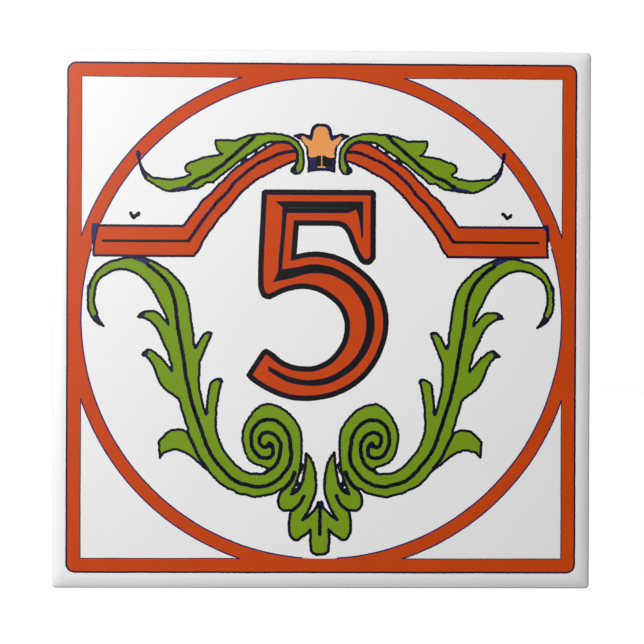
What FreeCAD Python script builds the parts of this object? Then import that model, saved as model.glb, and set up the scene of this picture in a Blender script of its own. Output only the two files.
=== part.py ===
import FreeCAD, Part
import math
import os
import Sketcher
from FreeCAD import Vector

# A square ceramic house number plaque. It is one glazed tile with a cushion edge and a ribbed back,
# printed with the numeral 5 under a broken arch, between acanthus leaves and scrolls, in a border that
# is a square and a ring drawn as one band.
# X runs across the face, Z runs up and the face looks towards -Y. The back lies on y = 0, with the
# origin at its centre. Lengths are in millimetres.

doc = FreeCAD.newDocument("HouseNumberPlaque")

# name, value, what it sets
SIZES = (
    ("tile_side", 152.4, "side of the square tile"),
    ("tile_thick", 6.4, "back face to printed face"),
    ("corner_radius", 1.2, "corner of the tile, seen from the front"),
    ("edge_width", 3.4, "width of the cushion edge"),
    ("edge_drop", 1.1, "how far the cushion edge falls"),
    ("edge_round", 0.6, "radius between the cushion edge and the side"),
    ("back_chamfer", 0.5, "bevel round the back face"),
    ("back_rim", 9.0, "least width left plain round the back"),
    ("recess_side", 14.0, "side of one square recess in the back"),
    ("rib_width", 3.0, "width of the rib between two recesses"),
    ("recess_depth", 0.7, "depth of a recess"),
    ("recess_draft", 25.0, "slope of a recess wall, in degrees"),
    ("ink_film", 0.05, "thickness of one printed colour"),
    ("edge_error", 0.07, "how far the edge of a printed colour may stray from its curve"),
    ("print_gap", 0.7, "cushion edge to the middle of the border's outer line"),
    ("print_raise", 0.33, "centre of the print above the centre of the tile"),
    ("ornament_shift", -0.4, "axis of the ornament beside the centre of the ring"),
    ("frame_band", 3.7, "width of the square frame"),
    ("frame_corner", 2.3, "outer corner of the square frame"),
    ("ring_band", 3.75, "width of the ring"),
    ("border_line", 0.5, "width of the dark line along the border"),
    ("key_line", 0.56, "width of the dark line round a leaf or the arch"),
    ("vein", 0.85, "width of the dark line along the middle of a leaf"),
    ("numeral_line", 1.27, "width of the black line round the numeral"),
    ("arch_reach", 1.0, "how far the upper corner of the arch's end reaches into the ring"),
)

sheet = doc.addObject("Spreadsheet::Sheet", "Sizes")
for row, (name, size, meaning) in enumerate(SIZES, start=1):
    sheet.set(f"A{row}", name)
    sheet.set(f"B{row}", str(size))
    sheet.set(f"C{row}", meaning)
    sheet.setAlias(f"B{row}", name)
doc.recompute()

# Places that follow from the sizes
FRAME_HALF = "(Sizes.tile_side / 2 - Sizes.edge_width - Sizes.print_gap)"
FRAME_INSIDE = f"({FRAME_HALF} - Sizes.frame_band)"
RING_INSIDE = f"({FRAME_HALF} - Sizes.ring_band)"
HALF_LINE = "(Sizes.border_line / 2)"
FACE = "(-Sizes.tile_thick)"
FALL_RADIUS = "((Sizes.edge_width ^ 2 + Sizes.edge_drop ^ 2) / (2 * Sizes.edge_drop))"
FIRST_FILM = "(-Sizes.tile_thick - Sizes.ink_film)"


def value(expression):
    """A number from the sheet, or from places that follow from it."""
    return float(sheet.evalExpression(expression))


def new_body(label, x="0", y="0", z="0"):
    body = doc.addObject("PartDesign::Body", label)
    body.Label = label
    body.AllowCompound = True
    body.setExpression("Placement.Base.x", x)
    body.setExpression("Placement.Base.y", y)
    body.setExpression("Placement.Base.z", z)
    return body


def origin_feature(body, role):
    return next(feature for feature in body.Origin.OriginFeatures if feature.Role == role)


def new_sketch(body, name, role="XZ_Plane"):
    sketch = body.newObject("Sketcher::SketchObject", name)
    sketch.AttachmentSupport = [(origin_feature(body, role), "")]
    sketch.MapMode = "FlatFace"
    return sketch


def dimension(sketch, name, constraint, expression):
    """Adds a named dimension that follows the sheet."""
    sketch.addConstraint(constraint)
    sketch.renameConstraint(sketch.ConstraintCount - 1, name)
    sketch.setExpression(f"Constraints.{name}", expression)


def pad(body, sketch, name, length):
    feature = body.newObject("PartDesign::Pad", name)
    feature.Profile = sketch
    feature.setExpression("Length", length)
    doc.recompute()
    return feature


def pocket_through(body, sketch, name):
    feature = body.newObject("PartDesign::Pocket", name)
    feature.Profile = sketch
    feature.Type = "ThroughAll"
    feature.SideType = "Symmetric"
    doc.recompute()
    return feature


def add_square(sketch, half, x="0", z="0"):
    """A square centred on x, z, with every side bound."""
    reach = value(half)
    middle = Vector(value(x), value(z), 0)
    corners = [middle + Vector(a * reach, b * reach, 0) for a, b in ((-1, -1), (1, -1), (1, 1), (-1, 1))]
    first = sketch.GeometryCount
    for start, end in zip(corners, corners[1:] + corners[:1]):
        sketch.addGeometry(Part.LineSegment(start, end), False)
    for side in range(4):
        following = first + (side + 1) % 4
        sketch.addConstraint(Sketcher.Constraint("Coincident", first + side, 2, following, 1))
        kind = "Horizontal" if side % 2 == 0 else "Vertical"
        sketch.addConstraint(Sketcher.Constraint(kind, first + side))
    left = Sketcher.Constraint("DistanceX", -1, 1, first, 1, corners[0].x)
    right = Sketcher.Constraint("DistanceX", -1, 1, first, 2, corners[1].x)
    low = Sketcher.Constraint("DistanceY", -1, 1, first, 1, corners[0].y)
    high = Sketcher.Constraint("DistanceY", -1, 1, first + 2, 1, corners[2].y)
    dimension(sketch, "left", left, f"{x} - {half}")
    dimension(sketch, "right", right, f"{x} + {half}")
    dimension(sketch, "low", low, f"{z} - {half}")
    dimension(sketch, "high", high, f"{z} + {half}")


def add_circle(sketch, radius):
    circle = sketch.addGeometry(Part.Circle(Vector(), Vector(0, 0, 1), value(radius)), False)
    sketch.addConstraint(Sketcher.Constraint("Coincident", circle, 3, -1, 1))
    dimension(sketch, "radius", Sketcher.Constraint("Radius", circle, value(radius)), radius)


# The tile

def add_cushion_profile(sketch):
    """The strip cut from the upper front edge, seen from the side: Y runs right and Z up."""
    front = -value("Sizes.tile_thick")
    top = value("Sizes.tile_side") / 2
    width = value("Sizes.edge_width")
    fall_radius = value(FALL_RADIUS)
    rim_radius = value("Sizes.edge_round")
    waste = width
    fall_centre = Vector(front + fall_radius, top - width, 0)
    between = math.sqrt((fall_radius - rim_radius) ** 2 - (width - rim_radius) ** 2)
    rim_centre = Vector(fall_centre.x - between, top - rim_radius, 0)
    meeting = math.atan2(rim_centre.y - fall_centre.y, rim_centre.x - fall_centre.x)
    axis = Vector(0, 0, 1)
    fall_circle = Part.Circle(fall_centre, axis, fall_radius)
    rim_circle = Part.Circle(rim_centre, axis, rim_radius)
    sketch.addGeometry(Part.ArcOfCircle(fall_circle, meeting, math.pi), False)
    sketch.addGeometry(Part.ArcOfCircle(rim_circle, math.pi / 2, meeting), False)
    corners = (
        Vector(rim_centre.x, top, 0),
        Vector(rim_centre.x, top + waste, 0),
        Vector(front - waste, top + waste, 0),
        Vector(front - waste, top - width, 0),
        Vector(front, top - width, 0),
    )
    for start, end in zip(corners, corners[1:]):
        sketch.addGeometry(Part.LineSegment(start, end), False)
    fall, rim, up, over, down, back = range(6)
    join = Sketcher.Constraint
    sketch.addConstraint([
        join("Tangent", fall, 1, rim, 2),
        join("Coincident", up, 1, rim, 1),
        join("Coincident", up, 2, over, 1),
        join("Coincident", over, 2, down, 1),
        join("Coincident", down, 2, back, 1),
        join("Coincident", back, 2, fall, 2),
        join("Vertical", up),
        join("Horizontal", over),
        join("Vertical", down),
        join("Horizontal", back),
        join("Horizontal", fall, 3, fall, 2),
        join("Vertical", rim, 3, rim, 1),
    ])
    dimension(sketch, "fall_radius", join("Radius", fall, fall_radius), FALL_RADIUS)
    dimension(sketch, "rim_radius", join("Radius", rim, rim_radius), "Sizes.edge_round")
    dimension(sketch, "face_y", join("DistanceX", fall, 2, -1, 1, -front), "Sizes.tile_thick")
    face_top = "Sizes.tile_side / 2 - Sizes.edge_width"
    dimension(sketch, "face_z", join("DistanceY", -1, 1, fall, 2, top - width), face_top)
    dimension(sketch, "side_z", join("DistanceY", -1, 1, rim, 1, top), "Sizes.tile_side / 2")
    dimension(sketch, "waste_z", join("DistanceY", up, 1, up, 2, waste), "Sizes.edge_width")
    dimension(sketch, "waste_y", join("DistanceX", back, 1, back, 2, waste), "Sizes.edge_width")


TOUCH = 0.001


def edges_where(shape, wanted):
    """Names of the edges whose bounding box passes a test."""
    return [f"Edge{number}" for number, edge in enumerate(shape.Edges, start=1) if wanted(edge.BoundBox)]


def add_dress_up(body, kind, name, wanted, size_name, size):
    """A fillet or chamfer on the wanted edges of what the body holds so far."""
    base = body.Tip
    feature = body.newObject(f"PartDesign::{kind}", name)
    feature.Base = (base, edges_where(base.Shape, wanted))
    feature.setExpression(size_name, size)
    doc.recompute()
    return feature


def make_tile():
    body = new_body("tile")
    square = new_sketch(body, "TileOutline")
    add_square(square, "Sizes.tile_side / 2")
    pad(body, square, "TileSlab", "Sizes.tile_thick")

    def at_corner(box):
        return box.YLength > value("Sizes.tile_thick / 2")

    add_dress_up(body, "Fillet", "TileCorners", at_corner, "Radius", "Sizes.corner_radius")

    cushion = new_sketch(body, "CushionProfile", "YZ_Plane")
    add_cushion_profile(cushion)
    cut = pocket_through(body, cushion, "CushionEdge")
    cushions = body.newObject("PartDesign::PolarPattern", "CushionEdges")
    cushions.Originals = [cut]
    cushions.Axis = (origin_feature(body, "Y_Axis"), [""])
    cushions.Angle = 360
    cushions.Occurrences = 4
    body.Tip = cushions
    doc.recompute()

    add_dress_up(body, "Chamfer", "BackBevel", lambda box: box.YMin > -TOUCH, "Size", "Sizes.back_chamfer")

    pitch = "(Sizes.recess_side + Sizes.rib_width)"
    count = f"floor((Sizes.tile_side - 2 * Sizes.back_rim + Sizes.rib_width) / {pitch})"
    first = f"(-{pitch} * ({count} - 1) / 2)"
    recess = new_sketch(body, "RecessOutline")
    add_square(recess, "Sizes.recess_side / 2", first, first)
    hollow = body.newObject("PartDesign::Pocket", "Recess")
    hollow.Profile = recess
    hollow.Reversed = True
    hollow.setExpression("Length", "Sizes.recess_depth")
    hollow.setExpression("TaperAngle", "-Sizes.recess_draft")
    doc.recompute()
    grid = body.newObject("PartDesign::LinearPattern", "RecessGrid")
    grid.Originals = [hollow]
    grid.Direction = (origin_feature(body, "X_Axis"), [""])
    grid.Direction2 = (origin_feature(body, "Z_Axis"), [""])
    grid.setExpression("Length", f"{pitch} * ({count} - 1)")
    grid.setExpression("Length2", f"{pitch} * ({count} - 1)")
    grid.setExpression("Occurrences", count)
    grid.setExpression("Occurrences2", count)
    body.Tip = grid
    doc.recompute()
    return body


# Outlines of the print
#
# An outline is a list of stretches. Each stretch is a smooth curve through its points, or a straight
# line where it has one point, and it runs on to the first point of the next stretch. Points are
# (across, up) from the middle of the ring. Where a dark line goes round a colour, the points lie along
# the middle of that line. Leaves and scrolls are drawn on the left and mirrored.
# The drawing and the widths of its lines are scaled together, until the arch's end reaches the ring.

MITRE_LIMIT = 2.2

ARCH_END_TOP = (-64.3, 26.0)
ARCH = (
    ((-64.1, 17.3),),
    (ARCH_END_TOP,),
    ((-39.0, 25.95), (-36.2, 29.8), (-31.1, 35.5), (-25.6, 41.3), (-19.2, 46.3)),
    ((-12.0, 49.3), (-9.3, 48.3), (-7.4, 46.3)),
    ((-7.7, 44.3), (-12.6, 42.4), (-18.2, 39.2), (-24.1, 33.7), (-30.3, 26.3), (-33.7, 21.3)),
    ((-35.9, 17.3),),
)
ARCH_GROOVE = ((-61.6, 21.65), (-37.5, 21.65))
ARCH_GROOVE_BEND = ((-37.6, 21.5), (-33.5, 27.6), (-27.6, 34.6), (-21.2, 41.2), (-14.6, 45.1), (-8.5, 47.0))

UPPER_LEAF = (
    ((-51.1, 42.5), (-49.4, 40.7), (-46.4, 39.3), (-41.5, 39.1), (-38.9, 39.7)),
    ((-37.0, 40.4), (-38.4, 42.0), (-37.1, 43.9), (-32.5, 45.4)),
    ((-28.0, 46.3), (-29.6, 48.0)),
    ((-29.9, 50.1), (-24.6, 50.3), (-18.6, 51.8), (-12.2, 52.0), (-7.9, 50.5), (-5.4, 47.4),
     (-5.2, 43.2), (-6.5, 41.1)),
    ((-8.4, 41.5), (-7.2, 43.9), (-7.0, 46.6), (-9.0, 49.3), (-13.8, 50.0), (-18.6, 48.3),
     (-25.2, 43.7), (-29.8, 39.6)),
    ((-31.6, 38.1), (-35.1, 36.7), (-40.0, 35.9), (-45.0, 36.4), (-49.4, 39.1)),
)
LEAF_TIP = (
    ((-52.4, 47.2),),
    ((-51.6, 44.4),),
    ((-50.5, 42.2),),
    ((-51.5, 42.1),),
    ((-52.3, 44.4),),
)
UPPER_LEAF_VEIN = ((-19.4, 51.0), (-22.3, 48.4), (-27.2, 44.1), (-32.2, 40.3), (-38.2, 37.2))

SCROLL = (
    ((-61.6, -2.2), (-64.2, -0.4), (-65.7, 3.4), (-65.5, 8.4), (-63.4, 12.7), (-58.8, 15.9), (-53.0, 17.0),
     (-47.2, 15.8), (-41.9, 12.3), (-38.3, 7.0), (-36.9, 0.0), (-36.1, -5.0)),
    ((-35.6, -8.3), (-34.8, -6.6), (-33.2, -4.7)),
    ((-31.1, -4.4), (-33.2, -9.6), (-34.4, -14.8), (-34.1, -20.4)),
    ((-32.5, -27.2), (-32.1, -23.4), (-31.3, -19.2)),
    ((-27.9, -17.6), (-28.9, -21.8), (-29.6, -28.0), (-29.0, -33.8), (-26.0, -39.4), (-22.2, -42.9),
     (-18.0, -44.0)),
    ((-14.4, -42.4), (-18.0, -41.3), (-20.8, -38.7), (-22.0, -34.6), (-21.0, -30.0), (-18.2, -25.8),
     (-14.5, -24.4), (-10.4, -25.9), (-7.0, -29.3), (-5.0, -34.0), (-4.8, -39.0), (-5.4, -43.0)),
    ((-6.8, -43.4), (-8.4, -46.7)),
    ((-10.6, -48.2), (-14.5, -50.0), (-18.6, -50.5), (-23.4, -49.4), (-28.4, -46.5)),
    ((-31.8, -43.0), (-35.2, -40.3), (-38.8, -38.0), (-42.4, -37.5)),
    ((-45.5, -39.3),),
    ((-45.5, -35.1), (-43.4, -32.5), (-40.4, -31.6)),
    ((-37.7, -32.7), (-38.5, -28.8), (-40.3, -22.9)),
    ((-41.4, -21.9), (-44.6, -19.7), (-46.4, -16.2), (-48.0, -12.2)),
    ((-50.5, -10.7), (-48.9, -9.1), (-45.4, -11.2)),
    ((-42.1, -14.8), (-43.0, -10.8), (-44.8, -6.0), (-47.4, -1.9)),
    ((-51.7, 0.2), (-49.4, 1.6), (-46.4, 0.9)),
    ((-43.2, -1.5), (-45.0, 3.0), (-48.8, 9.9), (-54.0, 13.3), (-58.6, 13.4), (-62.4, 11.3), (-64.0, 7.6),
     (-63.9, 3.0), (-62.8, 0.0)),
)
SCROLL_VEIN = (
    (-48.6, 14.6), (-44.8, 11.6), (-42.0, 7.2), (-40.7, 0.0), (-39.0, -12.0), (-37.0, -22.0), (-33.6, -32.4),
    (-29.2, -40.8), (-24.0, -45.8), (-18.6, -47.6), (-12.6, -46.0), (-8.6, -41.0), (-8.7, -34.0),
    (-11.4, -29.6), (-15.4, -28.5), (-18.6, -30.8), (-19.5, -34.6), (-17.8, -38.7), (-14.0, -39.2),
)
VOLUTE_VEIN = ((-13.8, -42.0), (-11.4, -38.9), (-11.6, -34.6), (-14.6, -32.0), (-17.1, -34.0), (-16.6, -36.5))
LEAF_VEIN = ((-37.2, -33.4), (-35.6, -36.4), (-34.0, -40.0))

# From the top of the middle down the left side to the foot
PALMETTE = (
    ((0.0, -52.4),),
    ((-1.7, -54.9),),
    ((-4.7, -57.2), (-3.1, -53.8), (-1.5, -49.7), (-1.4, -45.0), (-2.3, -40.7)),
    ((-3.8, -38.1), (-4.2, -43.6), (-6.0, -47.8)),
    ((-8.4, -49.3), (-7.3, -47.2)),
    ((-6.4, -44.6),),
    ((-8.9, -46.9),),
    ((-10.5, -48.7), (-11.9, -52.2), (-11.0, -54.5), (-8.8, -54.3)),
    ((-7.6, -54.8), (-8.5, -57.6), (-8.4, -61.0), (-6.8, -63.0), (-4.5, -61.9)),
    ((-2.5, -59.8),),
    ((-2.6, -65.8), (-1.7, -67.0), (0.0, -67.4)),
)
PALMETTE_SPINE = ((0.0, -54.0), (0.0, -61.3))
LOBE_VEIN = ((-8.0, -53.8), (-6.4, -52.2), (-4.6, -50.3))

# From the top of the middle down the left side to the foot
BUD = (
    ((0.0, 54.8), (-2.1, 54.0), (-2.7, 51.9)),
    ((-3.2, 51.7), (-5.6, 52.3)),
    ((-7.8, 51.6), (-5.9, 50.1), (-4.2, 47.7)),
    ((-4.0, 45.6),),
    ((-3.7, 41.8),),
    ((0.0, 41.8),),
)
BUD_FLOWER = (
    ((0.0, 54.3), (-1.8, 53.8), (-2.5, 52.2)),
    ((-2.7, 50.7),),
    ((-3.8, 50.6),),
    ((-5.3, 51.6), (-5.2, 50.5), (-4.0, 48.6)),
    ((-3.6, 46.1),),
    ((0.0, 46.1),),
)
BUD_STEM = (
    ((0.0, 45.6),),
    ((-0.35, 45.6),),
    ((-0.35, 43.3),),
    ((-1.1, 43.2),),
    ((-1.1, 42.8),),
    ((0.0, 42.8),),
)

LEFT_TICK = (
    ((-54.6, 29.7),),
    ((-53.0, 27.7),),
    ((-51.2, 29.7),),
    ((-51.7, 30.1),),
    ((-53.0, 28.8),),
    ((-54.0, 30.1),),
)
RIGHT_TICK = (
    ((51.6, 29.5),),
    ((53.2, 27.4),),
    ((54.7, 29.2),),
    ((54.1, 29.7),),
    ((53.2, 28.6),),
    ((52.2, 29.8),),
)

# The numeral's points lie on the outer edge of its black line
NUMERAL = (
    ((-16.9, 35.7),),
    ((-16.1, 36.4),),
    ((14.7, 36.4),),
    ((15.5, 35.6),),
    ((15.5, 17.0), (13.9, 15.3), (11.8, 15.4), (10.0, 17.6), (8.4, 21.2), (6.9, 24.6), (5.5, 25.8)),
    ((3.4, 26.15),),
    ((-6.3, 26.15),),
    ((-6.9, 18.1), (-3.4, 18.8), (1.0, 18.7), (6.2, 17.2), (11.4, 14.0), (15.8, 9.6), (18.5, 4.0),
     (19.2, -2.0),
     (18.0, -8.0), (15.0, -14.0), (10.6, -18.6), (4.6, -21.7), (-3.0, -23.7), (-10.0, -22.8), (-16.4, -19.8)),
    ((-21.1, -16.1),),
    ((-16.9, -9.6), (-15.7, -8.7), (-14.4, -9.1), (-10.0, -12.3), (-4.6, -13.6), (0.2, -12.7), (4.4, -9.2),
     (6.6, -4.0), (5.8, 1.6), (2.0, 5.8), (-3.4, 8.1), (-8.8, 7.7)),
    ((-14.5, 5.2), (-16.4, 5.8), (-17.5, 7.8)),
    ((-17.8, 10.4),),
)
NUMERAL_INLINE = (
    ((-13.2, 33.1),),
    ((11.7, 33.1),),
    ((11.7, 22.9),),
    ((11.2, 22.9),),
    ((10.1, 30.0), (9.2, 30.7)),
    ((6.4, 29.8),),
    ((-9.7, 29.7), (-10.2, 22.0)),
    ((-10.9, 13.8), (-6.0, 14.6), (-1.0, 15.3), (5.6, 13.4), (11.2, 9.2), (14.8, 2.6), (14.9, -5.0),
     (11.6, -12.0),
     (5.6, -17.3), (-2.0, -19.3), (-9.2, -18.1)),
    ((-14.9, -14.9),),
    ((-14.8, -13.5),),
    ((-13.2, -14.4), (-8.0, -16.8), (-1.0, -17.3), (6.0, -14.5), (11.4, -8.2), (12.8, -1.0),
     (10.8, 5.8), (5.2, 11.2),
     (-2.2, 12.7), (-8.6, 11.2)),
    ((-13.7, 10.1),),
    ((-12.1, 13.0),),
    ((-11.6, 31.2),),
)


def drawing_scale():
    """How much larger the ornament is than its drawing."""
    across, up = ARCH_END_TOP
    return (value(RING_INSIDE) + value("Sizes.arch_reach")) / math.hypot(across, up)


def scaled(points):
    """Drawn points as vectors, at the size of the ring."""
    scale = drawing_scale()
    return [Vector(across * scale, up * scale, 0) for across, up in points]


def line_width(name):
    """The width of one of the drawing's lines, at the size of the ring."""
    return value(f"Sizes.{name}") * drawing_scale()


def closed(outline):
    """Every stretch with both of its ends, round a closed outline."""
    starts = [scaled(stretch) for stretch in outline]
    return [stretch + following[:1] for stretch, following in zip(starts, starts[1:] + starts[:1])]


def both_sides(half):
    """A closed outline from its left half, which starts and ends on the axis.

    A curve that meets the axis runs on over it as one curve, and a straight line meets it at a corner.
    """
    left = closed(half)
    foot = left.pop()[:-1]
    if len(foot) > 1:
        left.append(foot)
    right = [[Vector(-point.x, point.y, 0) for point in reversed(stretch)] for stretch in reversed(left)]
    if len(left[-1]) > 2:
        left[-1] = left[-1] + right.pop(0)[1:]
    if len(left[0]) > 2:
        left[0] = right.pop() + left[0][1:]
    return left + right


def curve_through(points):
    curve = Part.BSplineCurve()
    curve.interpolate(points)
    return curve


def short_runs(points):
    """Corners of the short straight runs that stand for a stretch, as a film is too thin to need more."""
    if len(points) == 2:
        return points
    return curve_through(points).discretize(Deflection=value("Sizes.edge_error"))


def directions(points):
    """The direction of travel at each point of a stretch."""
    if len(points) == 2:
        along = (points[1] - points[0]).normalize()
        return [along, along]
    curve = curve_through(points)
    return [curve.tangent(curve.parameter(point))[0] for point in points]


def turned_right(direction):
    return Vector(direction.y, -direction.x, 0)


def moved_out(outline, distance):
    """A closed outline moved outwards, or inwards if the distance is negative, with mitred corners.

    A sharp mitre is cut short, but only on the outside of its corner.
    """
    corners = [point for stretch in outline for point in stretch[:-1]]
    area = sum(a.x * b.y - b.x * a.y for a, b in zip(corners, corners[1:] + corners[:1]))
    side = distance if area > 0 else -distance
    normals = [[turned_right(direction) for direction in directions(stretch)] for stretch in outline]
    result = []
    for stretch, across in zip(outline, normals):
        result.append([point + normal * side for point, normal in zip(stretch, across)])
    for here, stretch in enumerate(outline):
        after = (here + 1) % len(outline)
        ending, starting = normals[here][-1], normals[after][0]
        mitre = (ending + starting) * (1 / max(0.01, 1 + ending.dot(starting)))
        outside = ending.cross(starting).z * side > 0
        if outside and mitre.Length > MITRE_LIMIT:
            mitre = mitre * (MITRE_LIMIT / mitre.Length)
        result[here][-1] = result[after][0] = stretch[-1] + mitre * side
    return result


def ribbon(points, width):
    """A closed outline round a line of this width."""
    middle = scaled(points)
    across = [turned_right(direction) * (width / 2) for direction in directions(middle)]
    right = [point + step for point, step in zip(middle, across)]
    left = [point - step for point, step in zip(middle, across)]
    left.reverse()
    return [right, [right[-1], left[0]], left, [left[-1], right[0]]]


def shifted(outline, across):
    return [[point + Vector(across, 0, 0) for point in stretch] for stretch in outline]


def draw(body, name, outlines):
    """A sketch of closed outlines on a body's own upright plane."""
    sketch = new_sketch(body, name)
    for outline in outlines:
        for stretch in outline:
            corners = short_runs(stretch)
            sketch.addGeometry([Part.LineSegment(*ends) for ends in zip(corners, corners[1:])], False)
    return sketch


def print_outline(body, name, outline):
    return pad(body, draw(body, name, [outline]), f"{name}Film", "Sizes.ink_film")


def leave_out(body, name, outline):
    return pocket_through(body, draw(body, name, [outline]), f"{name}Gap")


def mirror_to_right(body, name):
    """Adds the right half of a body that was drawn on the left."""
    mirror = body.newObject("PartDesign::Mirrored", name)
    mirror.Originals = []
    mirror.TransformMode = "Whole shape"
    mirror.MirrorPlane = (origin_feature(body, "YZ_Plane"), [""])
    body.Tip = mirror
    doc.recompute()
    return mirror


# The border, a square frame and a ring in one band

def add_spandrel(sketch, line):
    """One white corner between the frame and the ring; line is how far it stays off the ring."""
    reach = f"({FRAME_INSIDE})"
    radius = f"({FRAME_HALF} + {line})"
    side = value(reach)
    round_radius = value(radius)
    tip = math.sqrt(round_radius ** 2 - side ** 2)
    low = math.atan2(tip, side)
    circle = Part.Circle(Vector(), Vector(0, 0, 1), round_radius)
    sketch.addGeometry(Part.LineSegment(Vector(tip, side, 0), Vector(side, side, 0)), False)
    sketch.addGeometry(Part.LineSegment(Vector(side, side, 0), Vector(side, tip, 0)), False)
    sketch.addGeometry(Part.ArcOfCircle(circle, low, math.pi / 2 - low), False)
    join = Sketcher.Constraint
    sketch.addConstraint([
        join("Coincident", 0, 2, 1, 1),
        join("Coincident", 1, 2, 2, 1),
        join("Coincident", 2, 2, 0, 1),
        join("Coincident", 2, 3, -1, 1),
        join("Horizontal", 0),
        join("Vertical", 1),
    ])
    dimension(sketch, "side", join("DistanceX", -1, 1, 1, 1, side), reach)
    dimension(sketch, "top", join("DistanceY", -1, 1, 0, 1, side), reach)
    dimension(sketch, "radius", join("Radius", 2, round_radius), radius)


def make_border(label, layer, line):
    """The band of frame and ring, wider by line on each side that carries a dark line."""
    body = new_body(label, y=layer, z="Sizes.print_raise")
    band = new_sketch(body, f"{label}_band")
    add_square(band, f"({FRAME_HALF} + {line})")
    add_circle(band, f"({RING_INSIDE} - {line})")
    pad(body, band, f"{label}_film", "Sizes.ink_film")

    def at_corner(box):
        return min(abs(box.Center.x), abs(box.Center.z)) > value(FRAME_INSIDE)

    add_dress_up(body, "Fillet", f"{label}_corners", at_corner, "Radius", f"Sizes.frame_corner + {line}")
    corner = new_sketch(body, f"{label}_spandrel")
    add_spandrel(corner, line)
    gap = pocket_through(body, corner, f"{label}_spandrel_gap")
    corners = body.newObject("PartDesign::PolarPattern", f"{label}_spandrels")
    corners.Originals = [gap]
    corners.Axis = (origin_feature(body, "Y_Axis"), [""])
    corners.Angle = 360
    corners.Occurrences = 4
    body.Tip = corners
    doc.recompute()
    arch = moved_out(closed(ARCH), line_width("key_line") / 2)
    for name, left in (("arch", arch), ("tip", closed(LEAF_TIP))):
        right = [[Vector(-point.x, point.y, 0) for point in stretch] for stretch in left]
        for side, shape in (("left", left), ("right", right)):
            leave_out(body, f"{label}_{side}_{name}", shifted(shape, value("Sizes.ornament_shift")))
    return body


# The ornament inside the ring

def ornament_body(label, layer):
    return new_body(label, x="Sizes.ornament_shift", y=layer, z="Sizes.print_raise")


def make_key_lines():
    """Everything that is dark behind the leaves, the arch and the bud."""
    body = ornament_body("key_lines", FACE)
    half_line = line_width("key_line") / 2
    for name, outline in (("ArchLine", ARCH), ("LeafLine", UPPER_LEAF), ("ScrollLine", SCROLL)):
        print_outline(body, name, moved_out(closed(outline), half_line))
    print_outline(body, "LeafTip", closed(LEAF_TIP))
    mirror_to_right(body, "LinesBothSides")
    for name, half in (("PalmetteLine", PALMETTE), ("BudLine", BUD)):
        print_outline(body, name, moved_out(both_sides(half), half_line))
    return body


def make_pair(label, outline, gaps):
    """A colour on both sides of the axis, inside its dark line, with gaps that let dark lines show."""
    body = ornament_body(label, FIRST_FILM)
    print_outline(body, f"{label}_fill", moved_out(closed(outline), -line_width("key_line") / 2))
    for number, (points, width) in enumerate(gaps, start=1):
        leave_out(body, f"{label}_line_{number}", ribbon(points, line_width(width)))
    mirror_to_right(body, f"{label}_both_sides")
    return body


def make_palmette():
    body = ornament_body("palmette", FIRST_FILM)
    print_outline(body, "palmette_fill", moved_out(both_sides(PALMETTE), -line_width("key_line") / 2))
    width = line_width("vein")
    leave_out(body, "palmette_spine", ribbon(PALMETTE_SPINE, width))
    for side, points in (("left", LOBE_VEIN), ("right", [(-across, up) for across, up in LOBE_VEIN])):
        leave_out(body, f"palmette_{side}_vein", ribbon(points, width))
    return body


def make_bud():
    body = ornament_body("bud", FIRST_FILM)
    print_outline(body, "bud_flower", both_sides(BUD_FLOWER))
    print_outline(body, "bud_stem", both_sides(BUD_STEM))
    return body


# The numeral and the two ticks over the arch

def make_numeral():
    outline = ornament_body("numeral_outline", FACE)
    print_outline(outline, "numeral_black", closed(NUMERAL))
    face = ornament_body("numeral", FIRST_FILM)
    print_outline(face, "numeral_red", moved_out(closed(NUMERAL), -line_width("numeral_line")))
    leave_out(face, "numeral_inline", closed(NUMERAL_INLINE))
    return [outline, face]


def make_ticks():
    body = ornament_body("ticks", FACE)
    sketch = draw(body, "tick_outlines", [closed(LEFT_TICK), closed(RIGHT_TICK)])
    pad(body, sketch, "tick_films", "Sizes.ink_film")
    return body


nodes = [make_tile()]
nodes.append(make_border("border_line", FACE, HALF_LINE))
nodes.append(make_border("border", FIRST_FILM, f"(-{HALF_LINE})"))
nodes.append(make_key_lines())
nodes.append(make_pair("arch", ARCH, [(groove, "key_line") for groove in (ARCH_GROOVE, ARCH_GROOVE_BEND)]))
nodes.append(make_pair("upper_leaves", UPPER_LEAF, [(UPPER_LEAF_VEIN, "vein")]))
scroll_gaps = [(line, "vein") for line in (SCROLL_VEIN, VOLUTE_VEIN, LEAF_VEIN)]
nodes.append(make_pair("side_scrolls", SCROLL, scroll_gaps))
nodes.append(make_palmette())
nodes.append(make_bud())
nodes.extend(make_numeral())
nodes.append(make_ticks())

doc.recompute()
failed = [item.Name for item in doc.Objects if "Invalid" in item.State or "Error" in item.State]
if failed:
    raise RuntimeError(f"features that failed: {failed}")

os.makedirs("parts", exist_ok=True)
for body in nodes:
    shape = body.Shape
    if shape.isNull() or not shape.isValid() or not shape.Solids:
        raise RuntimeError(f"{body.Label} has no valid solid")
    shape.exportStep(f"parts/{body.Label}.step")
    print(f"{body.Label}: {len(shape.Solids)} solids, {shape.Volume:.2f} cubic mm")
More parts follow.
